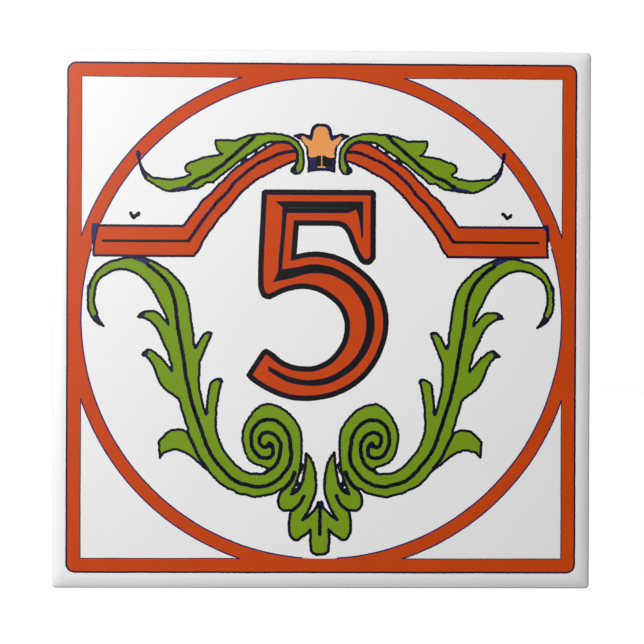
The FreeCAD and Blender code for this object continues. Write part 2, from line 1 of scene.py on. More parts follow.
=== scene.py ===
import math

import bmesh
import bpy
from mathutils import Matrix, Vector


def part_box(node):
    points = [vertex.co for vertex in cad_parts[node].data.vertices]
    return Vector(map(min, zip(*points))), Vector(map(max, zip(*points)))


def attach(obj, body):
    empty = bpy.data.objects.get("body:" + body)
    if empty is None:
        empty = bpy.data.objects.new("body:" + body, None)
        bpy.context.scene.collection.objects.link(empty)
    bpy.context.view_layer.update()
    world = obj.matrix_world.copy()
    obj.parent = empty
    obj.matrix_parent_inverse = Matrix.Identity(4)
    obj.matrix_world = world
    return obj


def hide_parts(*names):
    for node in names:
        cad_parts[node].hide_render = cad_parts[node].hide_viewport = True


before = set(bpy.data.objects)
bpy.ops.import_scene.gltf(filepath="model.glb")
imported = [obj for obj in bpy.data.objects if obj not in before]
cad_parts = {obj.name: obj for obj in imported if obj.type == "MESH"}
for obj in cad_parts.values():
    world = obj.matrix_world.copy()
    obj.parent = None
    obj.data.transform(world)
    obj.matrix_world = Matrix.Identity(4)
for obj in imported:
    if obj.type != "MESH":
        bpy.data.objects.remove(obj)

# %% [markdown]
# # A house number plaque
#
# The real object is one pressed and glazed ceramic tile. Its colours are printed on it and fired with
# it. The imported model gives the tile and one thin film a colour. Here each of them gets its finished
# form and its material, in metres and in the same place. The plaque stands upright: +X is to the
# right, +Z is up and the printed face looks towards -Y.

mm = 0.001
scene = bpy.context.scene
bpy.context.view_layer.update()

# %% [markdown]
# ## The camera
#
# The photo looks almost straight at the face. The camera's place was fitted to the tile's four corners
# in the photo: a long lens, half a metre away, turned and rolled by about a degree. A camera looks
# along its own -Z, so its axes are built from the direction that points back from the tile.

# %% Camera
LENS = 100.0
DISTANCE = 0.5073
AZIMUTH = math.radians(-1.158)
ELEVATION = math.radians(0.127)
ROLL = math.radians(0.253)
TARGET = Vector((-0.00003, -0.0055, -0.00073))

back = Vector((
    math.sin(AZIMUTH) * math.cos(ELEVATION),
    -math.cos(AZIMUTH) * math.cos(ELEVATION),
    math.sin(ELEVATION),
))
level = Vector((0, 0, 1)).cross(back).normalized()
upright = back.cross(level)
across = level * math.cos(ROLL) + upright * math.sin(ROLL)
camera = bpy.data.objects.new("camera", bpy.data.cameras.new("camera"))
camera.data.lens = LENS
facing = Matrix((across, back.cross(across), back)).transposed().to_4x4()
camera.matrix_world = Matrix.Translation(TARGET + back * DISTANCE) @ facing
scene.collection.objects.link(camera)
scene.camera = camera
print("camera at", [round(value, 4) for value in camera.location])

# %% [markdown]
# ## Materials from nodes
#
# Every finish below is a small tree of shader nodes. One function adds a node, sets it and links its
# inputs, and one turns the usual sRGB hex colour into the linear colour that the shader counts in.

# %% Helpers for nodes and colours
def add(tree, kind, settings={}, **inputs):
    """Adds a node. An input is a socket to link or a value to set; its key is the socket's name."""
    made = tree.nodes.new(kind)
    for key, value in settings.items():
        setattr(made, key, value)
    for key, source in inputs.items():
        socket = made.inputs[int(key[1:])] if key[0] == "_" else made.inputs[key.replace("_", " ")]
        if isinstance(source, bpy.types.NodeSocket):
            tree.links.new(source, socket)
        else:
            socket.default_value = source
    return made


def linear(code):
    """The linear colour of an sRGB hex code."""
    shares = [int(code[place:place + 2], 16) / 255 for place in (0, 2, 4)]
    bright = [((share + 0.055) / 1.055) ** 2.4 for share in shares]
    return [share / 12.92 if share <= 0.04045 else lit for share, lit in zip(shares, bright)] + [1.0]


def new_material(name):
    """An empty material with its output node, and its tree."""
    material = bpy.data.materials.new(name)
    material.use_nodes = True
    material.node_tree.nodes.clear()
    return material, material.node_tree


# %% [markdown]
# ## The glaze
#
# Tin-white gloss glaze on a dust-pressed body: the glaze melts smooth, so its roughness is low and its
# IOR is that of glass, 1.5. It is never quite flat. Firing leaves a faint orange peel, a few tenths of
# a millimetre to a few millimetres wide and only microns high, which breaks up what it mirrors. White
# and print lie under the same gloss, so one function gives both of them that skin. The pattern is read
# from Object coordinates, which are metres here: a Noise scale of 400 is a cell of 2.5 mm.

# %% Gloss skin for everything that was glazed
PEEL_CELL = 2.5 * mm
PEEL_HEIGHT = 0.004 * mm
GLAZE_ROUGHNESS = 0.3


def glossy_skin(tree, colour, roughness=GLAZE_ROUGHNESS):
    """A glass-like surface with orange peel over a colour."""
    place = add(tree, "ShaderNodeTexCoord").outputs["Object"]
    peel = add(tree, "ShaderNodeTexNoise", Vector=place, Scale=1 / PEEL_CELL, Detail=2.0)
    relief = add(tree, "ShaderNodeBump", Height=peel.outputs[0], Distance=PEEL_HEIGHT, Strength=1.0)
    return add(
        tree, "ShaderNodeBsdfPrincipled",
        Base_Color=colour, Roughness=roughness, IOR=1.5, Normal=relief.outputs[0],
    ).outputs[0]


def printed_glaze(name, code, mottle=0.04, patch=9.0 * mm):
    """A screen-printed glaze colour: even, with a faint cloud where more or less ink went down."""
    material, tree = new_material(name)
    place = add(tree, "ShaderNodeTexCoord").outputs["Object"]
    cloud = add(tree, "ShaderNodeTexNoise", Vector=place, Scale=1 / patch, Detail=4.0)
    depth = add(tree, "ShaderNodeMapRange", _0=cloud.outputs[0], _1=0.3, _2=0.7, _3=1 - mottle, _4=1 + mottle)
    tint = add(tree, "ShaderNodeHueSaturation", Color=linear(code), Value=depth.outputs[0])
    surface = glossy_skin(tree, tint.outputs[0])
    add(tree, "ShaderNodeOutputMaterial", Surface=surface)
    return material


# %% [markdown]
# The colours are the photo's own, taken where the light is middling. The red is an iron and selenium
# orange-red, the green a copper leaf green, the peach a thin wash of the red. The lines are cobalt
# and black. Where cobalt lies alone on white or red it fires violet, and where it is doubled it is
# nearly black, so the lines come in two strengths.

# %% Print colours
red_glaze = printed_glaze("orange_red_screen_printed_glaze", "C94402")
green_glaze = printed_glaze("leaf_green_screen_printed_glaze", "769812")
peach_glaze = printed_glaze("peach_screen_printed_glaze", "E99B55")
navy_glaze = printed_glaze("navy_line_printed_glaze", "060A22", mottle=0.3, patch=3.0 * mm)
violet_glaze = printed_glaze("violet_line_printed_glaze", "281F60", mottle=0.35, patch=2.0 * mm)
plum_glaze = printed_glaze("navy_line_over_red_printed_glaze", "1C0C34", mottle=0.3, patch=3.0 * mm)
# The glint ink is no print colour. It is a painted highlight: a lighter line that stands in for light caught
# along the inline's top bar.
painted_highlight_ink = printed_glaze("painted_highlight_line_glaze", "26332E")
black_glaze = printed_glaze("black_line_printed_glaze", "0A0A0C", mottle=0.15, patch=4.0 * mm)

# %% [markdown]
# The tile is white glaze in front and bare biscuit behind. The glaze is sprayed from the front, so it
# fades out down the sides in an uneven line. One material does both: a mask made from the depth (Y)
# and a noise decides where the glaze ends. Biscuit is fired clay: cream, matt, and finely grained.

# %% Tile material
GLAZE_ENDS = -3.2 * mm
GLAZE_RAGGED = 1.4 * mm
GLAZE_FADE = 0.15 * mm


def glazed_tile():
    material, tree = new_material("white_tin_glaze_over_pressed_biscuit")
    place = add(tree, "ShaderNodeTexCoord").outputs["Object"]
    cloud = add(tree, "ShaderNodeTexNoise", Vector=place, Scale=1 / (30 * mm), Detail=3.0)
    white = add(
        tree, "ShaderNodeMixRGB",
        Fac=cloud.outputs[0], Color1=linear("EFEFF0"), Color2=linear("F3F3F3"),
    )
    glaze = glossy_skin(tree, white.outputs[0])
    grain = add(tree, "ShaderNodeTexNoise", Vector=place, Scale=1 / (0.5 * mm), Detail=6.0, Roughness=0.7)
    stain = add(tree, "ShaderNodeTexNoise", Vector=place, Scale=1 / (22 * mm), Detail=5.0, Roughness=0.6)
    clay = add(
        tree, "ShaderNodeMixRGB",
        Fac=stain.outputs[0], Color1=linear("D8C7AC"), Color2=linear("EFE6D6"),
    )
    speck = add(tree, "ShaderNodeMapRange", _0=grain.outputs[0], _1=0.35, _2=0.7, _3=0.88, _4=1.04)
    clay_speckled = add(tree, "ShaderNodeHueSaturation", Color=clay.outputs[0], Value=speck.outputs[0])
    relief = add(tree, "ShaderNodeBump", Height=grain.outputs[0], Distance=0.03 * mm, Strength=1.0)
    biscuit = add(
        tree, "ShaderNodeBsdfPrincipled",
        Base_Color=clay_speckled.outputs[0], Roughness=0.9, IOR=1.45, Normal=relief.outputs[0],
    )
    depth = add(tree, "ShaderNodeSeparateXYZ", Vector=place).outputs[1]
    ragged = add(tree, "ShaderNodeTexNoise", Vector=place, Scale=1 / (7 * mm), Detail=2.0)
    edge = add(
        tree, "ShaderNodeMath", {"operation": "MULTIPLY_ADD"},
        _0=ragged.outputs[0], _1=2 * GLAZE_RAGGED, _2=depth,
    )
    ends = GLAZE_ENDS + GLAZE_RAGGED
    bare = add(
        tree, "ShaderNodeMapRange",
        _0=edge.outputs[0], _1=ends, _2=ends + GLAZE_FADE, _3=0.0, _4=1.0,
    )
    mix = add(tree, "ShaderNodeMixShader", _0=bare.outputs[0], _1=glaze, _2=biscuit.outputs[0])
    add(tree, "ShaderNodeOutputMaterial", Surface=mix.outputs[0])
    return material


tile_material = glazed_tile()

# %% [markdown]
# ## The tile
#
# A pressed tile has a cushion edge: the face curves down over its last few millimetres and turns into
# the side with a small radius. A chain of rounded squares, one a step along that section, makes the
# whole edge as one clean skin. The steps are closest where it bends most. The back has an even grid of
# shallow hollows that the adhesive keys into; each has sloping walls so that the press lets go of it.

# %% Sizes of the tile
low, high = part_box("tile")
HALF = (high.x - low.x) / 2
THICK = high.y - low.y
CORNER_RADIUS = 1.2 * mm
CORNER_GROWTH = 0.5
CORNER_STEPS = 8
EDGE_WIDTH = 3.4 * mm
EDGE_DROP = 1.1 * mm
RIM_RADIUS = 0.6 * mm
FALL_SQUARES = EDGE_WIDTH ** 2 - 2 * EDGE_WIDTH * RIM_RADIUS + EDGE_DROP ** 2
FALL_RADIUS = FALL_SQUARES / (2 * (EDGE_DROP - RIM_RADIUS))
FALL_STEPS = 14
RIM_STEPS = 8
BACK_CHAMFER = 0.5 * mm
RECESSES = 8
RECESS_SIDE = 14.0 * mm
RIB = 3.0 * mm
RECESS_DEPTH = 0.7 * mm
RECESS_DRAFT = math.radians(25)


def edge_section():
    """(inset from the side, depth) down the cushion edge, round the rim and to the back."""
    between = math.sqrt((FALL_RADIUS - RIM_RADIUS) ** 2 - (EDGE_WIDTH - RIM_RADIUS) ** 2)
    fall_centre = (EDGE_WIDTH, -THICK + FALL_RADIUS)
    rim_centre = (RIM_RADIUS, fall_centre[1] - between)
    meeting = math.atan2(EDGE_WIDTH - RIM_RADIUS, between)
    falls = [meeting * step / FALL_STEPS for step in range(FALL_STEPS + 1)]
    rims = [meeting + (math.pi / 2 - meeting) * step / RIM_STEPS for step in range(1, RIM_STEPS + 1)]
    section = []
    for centre, radius, turns in ((fall_centre, FALL_RADIUS, falls), (rim_centre, RIM_RADIUS, rims)):
        for turn in turns:
            section.append((centre[0] - radius * math.sin(turn), centre[1] - radius * math.cos(turn)))
    section += [(0, -THICK * 0.4), (0, -BACK_CHAMFER - 0.1 * mm), (0, -BACK_CHAMFER)]
    section += [(BACK_CHAMFER * share, -BACK_CHAMFER * (1 - share)) for share in (0.5, 1.0)]
    return section


def rounded_square(half, radius):
    """Points of a square with rounded corners, anticlockwise as the viewer in front sees it."""
    points = []
    for corner in range(4):
        start = corner * math.pi / 2
        turn = math.pi / 4 + start
        centre = Vector((math.cos(turn), math.sin(turn))) * (half - radius) * math.sqrt(2)
        for step in range(CORNER_STEPS + 1):
            angle = start + math.pi / 2 * step / CORNER_STEPS
            points.append(centre + Vector((math.cos(angle), math.sin(angle))) * radius)
    return points


def tile_mesh():
    bm = bmesh.new()
    loops = []
    for inset, depth in edge_section():
        ring = rounded_square(HALF - inset, CORNER_RADIUS + CORNER_GROWTH * inset)
        loops.append([bm.verts.new((point.x, depth, point.y)) for point in ring])
    count = len(loops[0])
    bm.faces.new(loops[0])
    for outer, inner in zip(loops, loops[1:]):
        for place in range(count):
            after = (place + 1) % count
            bm.faces.new((outer[place], inner[place], inner[after], outer[after]))
    return bm


# %% [markdown]
# The hollows are cut by insetting the grid's own faces: each square of the grid is drawn in by the
# slope of its wall and pushed to the depth of the hollow. A bevel softens every pressed edge.

# %% Build the tile
def add_back(bm):
    """The back face with its grid of hollows, inside the last ring of the edge."""
    pitch = RECESS_SIDE + RIB
    first = -(RECESSES * pitch - RIB) / 2
    lines = sorted([first + pitch * step for step in range(RECESSES)]
                   + [first + pitch * step + RECESS_SIDE for step in range(RECESSES)])
    rows = [[bm.verts.new((x, 0, z)) for x in lines] for z in lines]
    hollows = []
    for row, (below, above) in enumerate(zip(rows, rows[1:])):
        for column in range(len(lines) - 1):
            square = (below[column], above[column], above[column + 1], below[column + 1])
            face = bm.faces.new(square)
            if row % 2 == 0 and column % 2 == 0:
                hollows.append(face)
    outside = [edge for edge in bm.edges if edge.is_boundary]
    bmesh.ops.triangle_fill(bm, use_beauty=True, edges=outside)
    slope = RECESS_DEPTH * math.tan(RECESS_DRAFT)
    bmesh.ops.inset_individual(bm, faces=hollows, thickness=slope, depth=-RECESS_DEPTH)
    return len(hollows)


bm = tile_mesh()
hollow_count = add_back(bm)
bmesh.ops.recalc_face_normals(bm, faces=bm.faces)
mesh = bpy.data.meshes.new("glazed_tile")
bm.to_mesh(mesh)
bm.free()
mesh.materials.append(tile_material)
tile = bpy.data.objects.new("glazed_tile", mesh)
scene.collection.objects.link(tile)
for face in mesh.polygons:
    face.use_smooth = True
soft = tile.modifiers.new("pressed edges", "BEVEL")
soft.width = 0.25 * mm
soft.segments = 3
soft.limit_method = "ANGLE"
soft.angle_limit = math.radians(28)
even = tile.modifiers.new("face weighted normals", "WEIGHTED_NORMAL")
even.keep_sharp = False
print("tile:", hollow_count, "hollows,", len(mesh.polygons), "faces")

# %% [markdown]
# ## Drawing the print
#
# The print is a drawing: areas of flat colour with dark lines over their edges. Both follow the same
# curves, so each curve is written once. Its points are millimetres from the ornament's own upright
# axis and from the middle of the print, read off the photo. An outline is made of stretches:
# inside a stretch the curve runs smoothly through its points, and where one stretch gives way to the
# next there is a sharp corner. Only the left half is written, because the ornament is symmetrical.

# %% Curves through the drawing's points
PRINT_RAISE = 0.33 * mm
ORNAMENT_SHIFT = -0.4 * mm
FACE = -THICK


def mirrored(outline, out=0.0):
    """The right half of an outline drawn for the left, moved out from the axis by some millimetres."""
    return [[(out - x, z) for x, z in stretch] for stretch in outline]


def pair(outline, out=0.0):
    """An outline and its mirror image."""
    return [outline, mirrored(outline, out)]


def edges_of(outline):
    """The stretches of a closed outline as open lines that meet at its corners."""
    return [list(stretch) + [following[0]] for stretch, following in zip(outline, outline[1:] + outline[:1])]


def curve_object(name, outlines, closed):
    """A flat curve object. A closed outline is one spline; an open one has a spline a stretch."""
    data = bpy.data.curves.new(name, "CURVE")
    data.dimensions = "3D"
    data.resolution_u = 12
    for outline in outlines:
        runs = [[(place == 0, point) for place, point in enumerate(stretch)] for stretch in outline]
        if closed:
            runs = [sum(runs, [])]
        for run in runs:
            spline = data.splines.new("BEZIER")
            spline.use_cyclic_u = closed
            spline.bezier_points.add(len(run) - 1)
            for knot, (corner, point) in zip(spline.bezier_points, run):
                knot.co = (point[0] * mm, point[1] * mm, 0)
                kind = "VECTOR" if corner and closed else "AUTO"
                knot.handle_left_type = knot.handle_right_type = kind
    drawn = bpy.data.objects.new(name, data)
    scene.collection.objects.link(drawn)
    return drawn


# %% [markdown]
# Two trees of geometry nodes turn curves into print. Both first walk along the curve in short equal
# steps and push every step aside by the same noise, because the drawing was cut by hand: its edges
# tremble by about a tenth of a millimetre. The noise depends on the place alone, so an area and the
# line over its edge tremble together. The first tree fills closed curves, thickens the film and closes
# its underside. Curves inside a curve become holes.

# %% Shared start of both trees
STEP = 0.17 * mm
TREMBLE = 0.2 * mm
TREMBLE_CELL = 0.34 * mm
DRIFT = 0.12 * mm
DRIFT_CELL = 11.0 * mm
SWELL_CELL = 1.1 * mm
SEED = 5.0


def maths(tree, operation, first, second):
    """The result of one sum on two numbers."""
    return add(tree, "ShaderNodeMath", {"operation": operation}, _0=first, _1=second).outputs[0]


def vector_math(tree, operation, **inputs):
    """The result of one sum on vectors."""
    return add(tree, "ShaderNodeVectorMath", {"operation": operation}, **inputs).outputs[0]


def noise(tree, place, cell, seed):
    """Noise that depends on the place alone, with cells of one size."""
    settings = {"noise_dimensions": "4D"}
    return add(tree, "ShaderNodeTexNoise", settings, Vector=place, W=seed, Scale=1 / cell, Detail=1.0)


def start_tree(name, sizes):
    """A geometry tree with named inputs, up to the curve's trembling steps."""
    tree = bpy.data.node_groups.new(name, "GeometryNodeTree")
    tree.interface.new_socket("Geometry", in_out="INPUT", socket_type="NodeSocketGeometry")
    for label, value in sizes.items():
        socket = tree.interface.new_socket(label, in_out="INPUT", socket_type="NodeSocketFloat")
        socket.default_value = value
    tree.interface.new_socket("Ink", in_out="INPUT", socket_type="NodeSocketMaterial")
    tree.interface.new_socket("Geometry", in_out="OUTPUT", socket_type="NodeSocketGeometry")
    given = add(tree, "NodeGroupInput").outputs
    steps = add(tree, "GeometryNodeResampleCurve", {"mode": "LENGTH"}, Curve=given["Geometry"], Length=STEP)
    place = add(tree, "GeometryNodeInputPosition").outputs[0]
    shift = None
    for cell, size, seed in ((TREMBLE_CELL, "Tremble", SEED), (DRIFT_CELL, "Drift", SEED + 1)):
        wave = noise(tree, place, cell, seed)
        centred = vector_math(tree, "SUBTRACT", _0=wave.outputs[1], _1=(0.5, 0.5, 0.5))
        reach = maths(tree, "MULTIPLY", given[size], 4.0)
        scaled = vector_math(tree, "SCALE", _0=centred, Scale=reach)
        shift = scaled if shift is None else vector_math(tree, "ADD", _0=shift, _1=scaled)
    flat = vector_math(tree, "MULTIPLY", _0=shift, _1=(1.0, 1.0, 0.0))
    moved = add(tree, "GeometryNodeSetPosition", Geometry=steps.outputs[0], Offset=flat)
    return tree, given, moved.outputs[0]


def end_tree(tree, geometry, ink):
    """Real, flat-shaded faces in one material."""
    real = add(tree, "GeometryNodeRealizeInstances", Geometry=geometry)
    crisp = add(tree, "GeometryNodeSetShadeSmooth", Geometry=real.outputs[0], Shade_Smooth=False)
    inked = add(tree, "GeometryNodeSetMaterial", Geometry=crisp.outputs[0], Material=ink)
    add(tree, "NodeGroupOutput", Geometry=inked.outputs[0])
    return tree


# %% Tree for an area of colour
def area_tree():
    tree, given, curve = start_tree("printed_area", {"Top": 0.02 * mm, "Tremble": TREMBLE, "Drift": DRIFT})
    filled = add(tree, "GeometryNodeFillCurve", Curve=curve)
    sunk = 0.02 * mm
    base = add(tree, "GeometryNodeSetPosition", Geometry=filled.outputs[0], Offset=(0, 0, -sunk))
    rise = add(tree, "ShaderNodeCombineXYZ", Z=maths(tree, "ADD", given["Top"], sunk)).outputs[0]
    film = add(tree, "GeometryNodeExtrudeMesh", Mesh=base.outputs[0], Offset=rise, Individual=False)
    under = add(tree, "GeometryNodeFlipFaces", Mesh=base.outputs[0])
    both = add(tree, "GeometryNodeJoinGeometry", Geometry=film.outputs[0])
    tree.links.new(under.outputs[0], both.inputs[0])
    closed = add(tree, "GeometryNodeMergeByDistance", Geometry=both.outputs[0], Distance=0.0001 * mm)
    return end_tree(tree, closed.outputs[0], given["Ink"])


# %% [markdown]
# The second tree draws a line: a flat band swept along the curve, a little wider here and narrower
# there, with a round dot on both of its ends, so that lines meet without a nick. The dots are laid by
# an instance node. Every spline lies a hair higher than the one before, so that no two tops fall
# in one plane.

# %% Tree for a drawn line
def line_tree():
    sizes = {"Width": 0.55 * mm, "Top": 0.04 * mm, "Tremble": TREMBLE, "Drift": DRIFT, "Uneven": 0.22}
    tree, given, curve = start_tree("drawn_line", sizes)
    place = add(tree, "GeometryNodeInputPosition").outputs[0]
    swell = noise(tree, place, SWELL_CELL, SEED + 2)
    most = maths(tree, "ADD", given["Uneven"], 1.0)
    least = maths(tree, "SUBTRACT", 1.0, given["Uneven"])
    share = add(tree, "ShaderNodeMapRange", _0=swell.outputs[0], _1=0.3, _2=0.7, _3=least, _4=most)
    standing = add(tree, "GeometryNodeSetCurveNormal", {"mode": "Z_UP"}, Curve=curve)
    spline = add(tree, "GeometryNodeCurveOfPoint").outputs["Curve Index"]
    climb = add(tree, "ShaderNodeCombineXYZ", Z=maths(tree, "MULTIPLY", spline, 0.0001 * mm))
    stacked = add(tree, "GeometryNodeSetPosition", Geometry=standing.outputs[0], Offset=climb.outputs[0])
    uneven = add(tree, "GeometryNodeSetCurveRadius", Curve=stacked.outputs[0], Radius=share.outputs[0])
    sunk = 0.01 * mm
    height = maths(tree, "ADD", given["Top"], sunk)
    half = maths(tree, "DIVIDE", given["Width"], 2.0)
    band = add(tree, "GeometryNodeCurvePrimitiveQuadrilateral", Width=given["Width"], Height=height)
    swept = add(
        tree, "GeometryNodeCurveToMesh",
        Curve=uneven.outputs[0], Profile_Curve=band.outputs[0], Fill_Caps=True,
    )
    ends = add(tree, "GeometryNodeCurveEndpointSelection")
    dot = add(tree, "GeometryNodeMeshCylinder", Vertices=14, Radius=half, Depth=height)
    low_dot = add(tree, "GeometryNodeSetPosition", Geometry=dot.outputs[0], Offset=(0, 0, -0.003 * mm))
    width = add(tree, "ShaderNodeCombineXYZ", X=share.outputs[0], Y=share.outputs[0], Z=1.0)
    dots = add(
        tree, "GeometryNodeInstanceOnPoints",
        Points=uneven.outputs[0], Selection=ends.outputs[0],
        Instance=low_dot.outputs[0], Scale=width.outputs[0],
    )
    both = add(tree, "GeometryNodeJoinGeometry", Geometry=swept.outputs[0])
    tree.links.new(dots.outputs[0], both.inputs[0])
    middle = maths(tree, "DIVIDE", maths(tree, "SUBTRACT", given["Top"], sunk), 2.0)
    rise = add(tree, "ShaderNodeCombineXYZ", Z=middle)
    lifted = add(tree, "GeometryNodeSetPosition", Geometry=both.outputs[0], Offset=rise.outputs[0])
    return end_tree(tree, lifted.outputs[0], given["Ink"])


trees = {"area": area_tree(), "line": line_tree()}

# %% [markdown]
# A print piece is a list of such areas and lines. Each is evaluated, turned into a plain mesh and
# joined, then stood up from the drawing's flat plane onto the tile's face. It stands for the film of
# the imported model that holds the same colour, which is hidden.

# %% Turning drawings into a printed piece
ONTO_TILE = Matrix.Translation((0, FACE, PRINT_RAISE)) @ Matrix.Rotation(math.pi / 2, 4, "X")
DRY_ORDER = 0.001 * mm
PALMETTE_TOP = 0.023 * mm
FRINGE_TOP = 0.026 * mm
DARK_TOP = 0.03 * mm
GLINT_TOP = 0.034 * mm
BUD_TOP = 0.047 * mm


def inked(kind, outlines, ink, closed, shift=ORNAMENT_SHIFT, **sizes):
    """One area or set of lines as a plain mesh, still flat."""
    drawn = curve_object("drawing", outlines, closed)
    modifier = drawn.modifiers.new("print", "NODES")
    modifier.node_group = trees[kind]
    values = dict(sizes, Ink=ink)
    for item in trees[kind].interface.items_tree:
        if item.in_out == "INPUT" and item.name in values:
            modifier[item.identifier] = values[item.name]
    evaluated = drawn.evaluated_get(bpy.context.evaluated_depsgraph_get())
    flat = bpy.data.meshes.new_from_object(evaluated)
    bpy.data.objects.remove(drawn)
    flat.transform(Matrix.Translation((shift, 0, 0)))
    return flat


def area(outlines, ink, **sizes):
    return inked("area", outlines, ink, True, **sizes)


def line(outline, ink, closed=False, **sizes):
    return inked("line", [outline], ink, closed, **sizes)


def line_pair(outline, ink, out=0.0, **sizes):
    return line(list(outline) + mirrored(outline, out), ink, **sizes)


def printed(name, node, layers):
    """Joins the layers into one piece on the tile and lets it stand for the node."""
    bm = bmesh.new()
    mesh = bpy.data.meshes.new(name)
    for order, layer in enumerate(layers):
        ink = next(material for material in layer.materials if material)
        if ink.name not in mesh.materials:
            mesh.materials.append(ink)
        number = mesh.materials.find(ink.name)
        layer.transform(Matrix.Translation((0, 0, order * DRY_ORDER)))
        known = len(bm.faces)
        bm.from_mesh(layer)
        bm.faces.ensure_lookup_table()
        for face in bm.faces[known:]:
            face.material_index = number
        bpy.data.meshes.remove(layer)
    bm.transform(ONTO_TILE)
    triangles = sum(len(face.verts) - 2 for face in bm.faces)
    bm.to_mesh(mesh)
    bm.free()
    piece = bpy.data.objects.new(name, mesh)
    scene.collection.objects.link(piece)
    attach(piece, "root")
    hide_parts(node)
    print(name, "has", len(layers), "layers and", triangles, "triangles")
    return piece


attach(tile, "root")
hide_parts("tile")

# %% [markdown]
# ## The border
#
# The red band is a square frame with a ring drawn in it, and both share one red: it is one area whose
# outer edge is a square with rounded corners, with the ring's round opening and four three-cornered
# spandrels left white. The arc of a spandrel ends where it runs into the frame. A thin line follows
# the outside of the frame and both edges of the ring, and leaves the frame's inner edge bare.

# %% Border outlines
FRAME_HALF = 71.94
FRAME_CORNER = 2.4
FRAME_INSIDE = 68.04
RING_OUTSIDE = 71.84
RING_INSIDE = 68.07


def arc(radius, start, end, steps=24):
    """Points of an arc about the middle of the print, in degrees anticlockwise from the right."""
    angles = [math.radians(start + (end - start) * step / steps) for step in range(steps + 1)]
    return [(radius * math.cos(angle), radius * math.sin(angle)) for angle in angles]


def frame_outline():
    """The frame's outer edge: four straight sides and four round corners."""
    reach = FRAME_HALF - FRAME_CORNER
    outline = []
    for turn in range(4):
        start = 90 * turn
        centre = (reach * (1 if turn in (0, 3) else -1), reach * (1 if turn < 2 else -1))
        corner = [(centre[0] + x, centre[1] + z) for x, z in arc(FRAME_CORNER, start, start + 90, 6)]
        outline += [corner[:-1], corner[-1:]]
    return outline


def spandrel(turn):
    """One white corner between the ring and the frame."""
    inside = math.degrees(math.acos(FRAME_INSIDE / RING_OUTSIDE))
    start = 90 * turn
    tips = arc(RING_OUTSIDE, start + inside, start + 90 - inside, 20)
    corner = (FRAME_INSIDE * (1 if turn in (0, 3) else -1), FRAME_INSIDE * (1 if turn < 2 else -1))
    return [tips[:-1], tips[-1:], [corner]]


# %% Border pieces
spandrels = [spandrel(turn) for turn in range(4)]
ring_edge = [arc(RING_INSIDE, 0, 360, 72)[:-1]]
BORDER_HAND = {"Tremble": 0.06 * mm, "Drift": 0.05 * mm, "shift": -0.07 * mm}
red_border = printed("red_border_print", "border", [
    area([frame_outline(), ring_edge] + spandrels, red_glaze, **BORDER_HAND),
])
RING_LINE_ANGLES = ((-86.0, 17.0), (23.2, 157.0), (163.2, 265.5))
RING_LINE = {"Width": 0.4 * mm, "Uneven": 0.3}
ring_lines = [arc(RING_INSIDE, start, end, 40) for start, end in RING_LINE_ANGLES]
round_sides = [edges_of(outline)[0] for outline in spandrels]
straight_sides = sum([edges_of(outline)[1:] for outline in spandrels], [])
border_lines = printed("border_line_print", "border_line", [
    line(edges_of(frame_outline()), plum_glaze, Width=0.5 * mm, **BORDER_HAND),
    line(ring_lines, violet_glaze, **RING_LINE, **BORDER_HAND),
    line(round_sides, violet_glaze, **RING_LINE, **BORDER_HAND),
    line(straight_sides, plum_glaze, Width=0.2 * mm, **BORDER_HAND),
])

# %% [markdown]
# ## The broken arch
#
# A broad moulding runs in level from the ring, climbs in an S towards the middle and stops short of
# it. It is one red area with a line round it and one along its middle. Where the acanthus leaf lies
# on its back the two outlines run together into one dark edge, with a few white dashes left open.
# The ends aren't a pair: the left one leans, the right one is upright, and each has its dark corner.

# %% Arch outlines
ARCH = (
    ((-64.2, 17.5),),
    ((-64.2, 20), (-63.8, 22), (-63.4, 23.6), (-63.2, 25.95)),
    ((-63, 25.95),),
    ((-39, 25.95), (-37.6, 27.9), (-35.6, 30.3), (-33.5, 33.2), (-31.1, 35.1), (-29.7, 36.9), (-27.7, 38.8),
     (-25.8, 40.9), (-24, 42.5), (-22.1, 43.8), (-20.3, 44.9), (-18.6, 46.1), (-17.2, 47.1), (-15.7, 48),
     (-14.3, 48.85), (-12.9, 49.55), (-11.5, 49.75), (-10.2, 49.7)),
    ((-8.7, 49), (-7.4, 47.5), (-6.8, 45.7)),
    ((-7.1, 44.5), (-8.6, 44.1), (-10.1, 43.4), (-12.6, 42.3), (-14.3, 41.3), (-16.6, 40.1), (-18.2, 39.2),
     (-20.6, 37.2), (-22.4, 35.7), (-24.1, 33.8), (-25.5, 32), (-27.3, 29.9), (-28.7, 28.5), (-30.3, 26.3),
     (-31.9, 24.2), (-33.7, 21.3), (-34.5, 19.4), (-35.3, 18.4)),
    ((-35.9, 17.5),),
)
ARCH_RIGHT = [[(64.2, 17.5)], [(64.2, 25.95)]] + mirrored(ARCH)[3:]

ARCH_TOP_LINE = (
    ((-62.5, 25.95), (-49.6, 25.95), (-39, 25.95)),
)

ARCH_BOTTOM_LINE = (
    ((-64.2, 17.5), (-49.6, 17.45), (-35.9, 17.5)),
)

ARCH_END_LINE = (
    ((-64.2, 17.5), (-64.2, 20), (-63.9, 22), (-63.5, 23.6), (-63.2, 25.6)),
    ((64.2, 17.5), (64.2, 25.95)),
    ((64.2, 25.95), (62.4, 25.95)),
)

ARCH_UPPER_LINE = (ARCH[3] + ((-8.7, 49.1), (-7.7, 48)),)
ARCH_LOWER_LINE = (((-7.0, 44.6),) + ARCH[5][1:] + ARCH[6],)

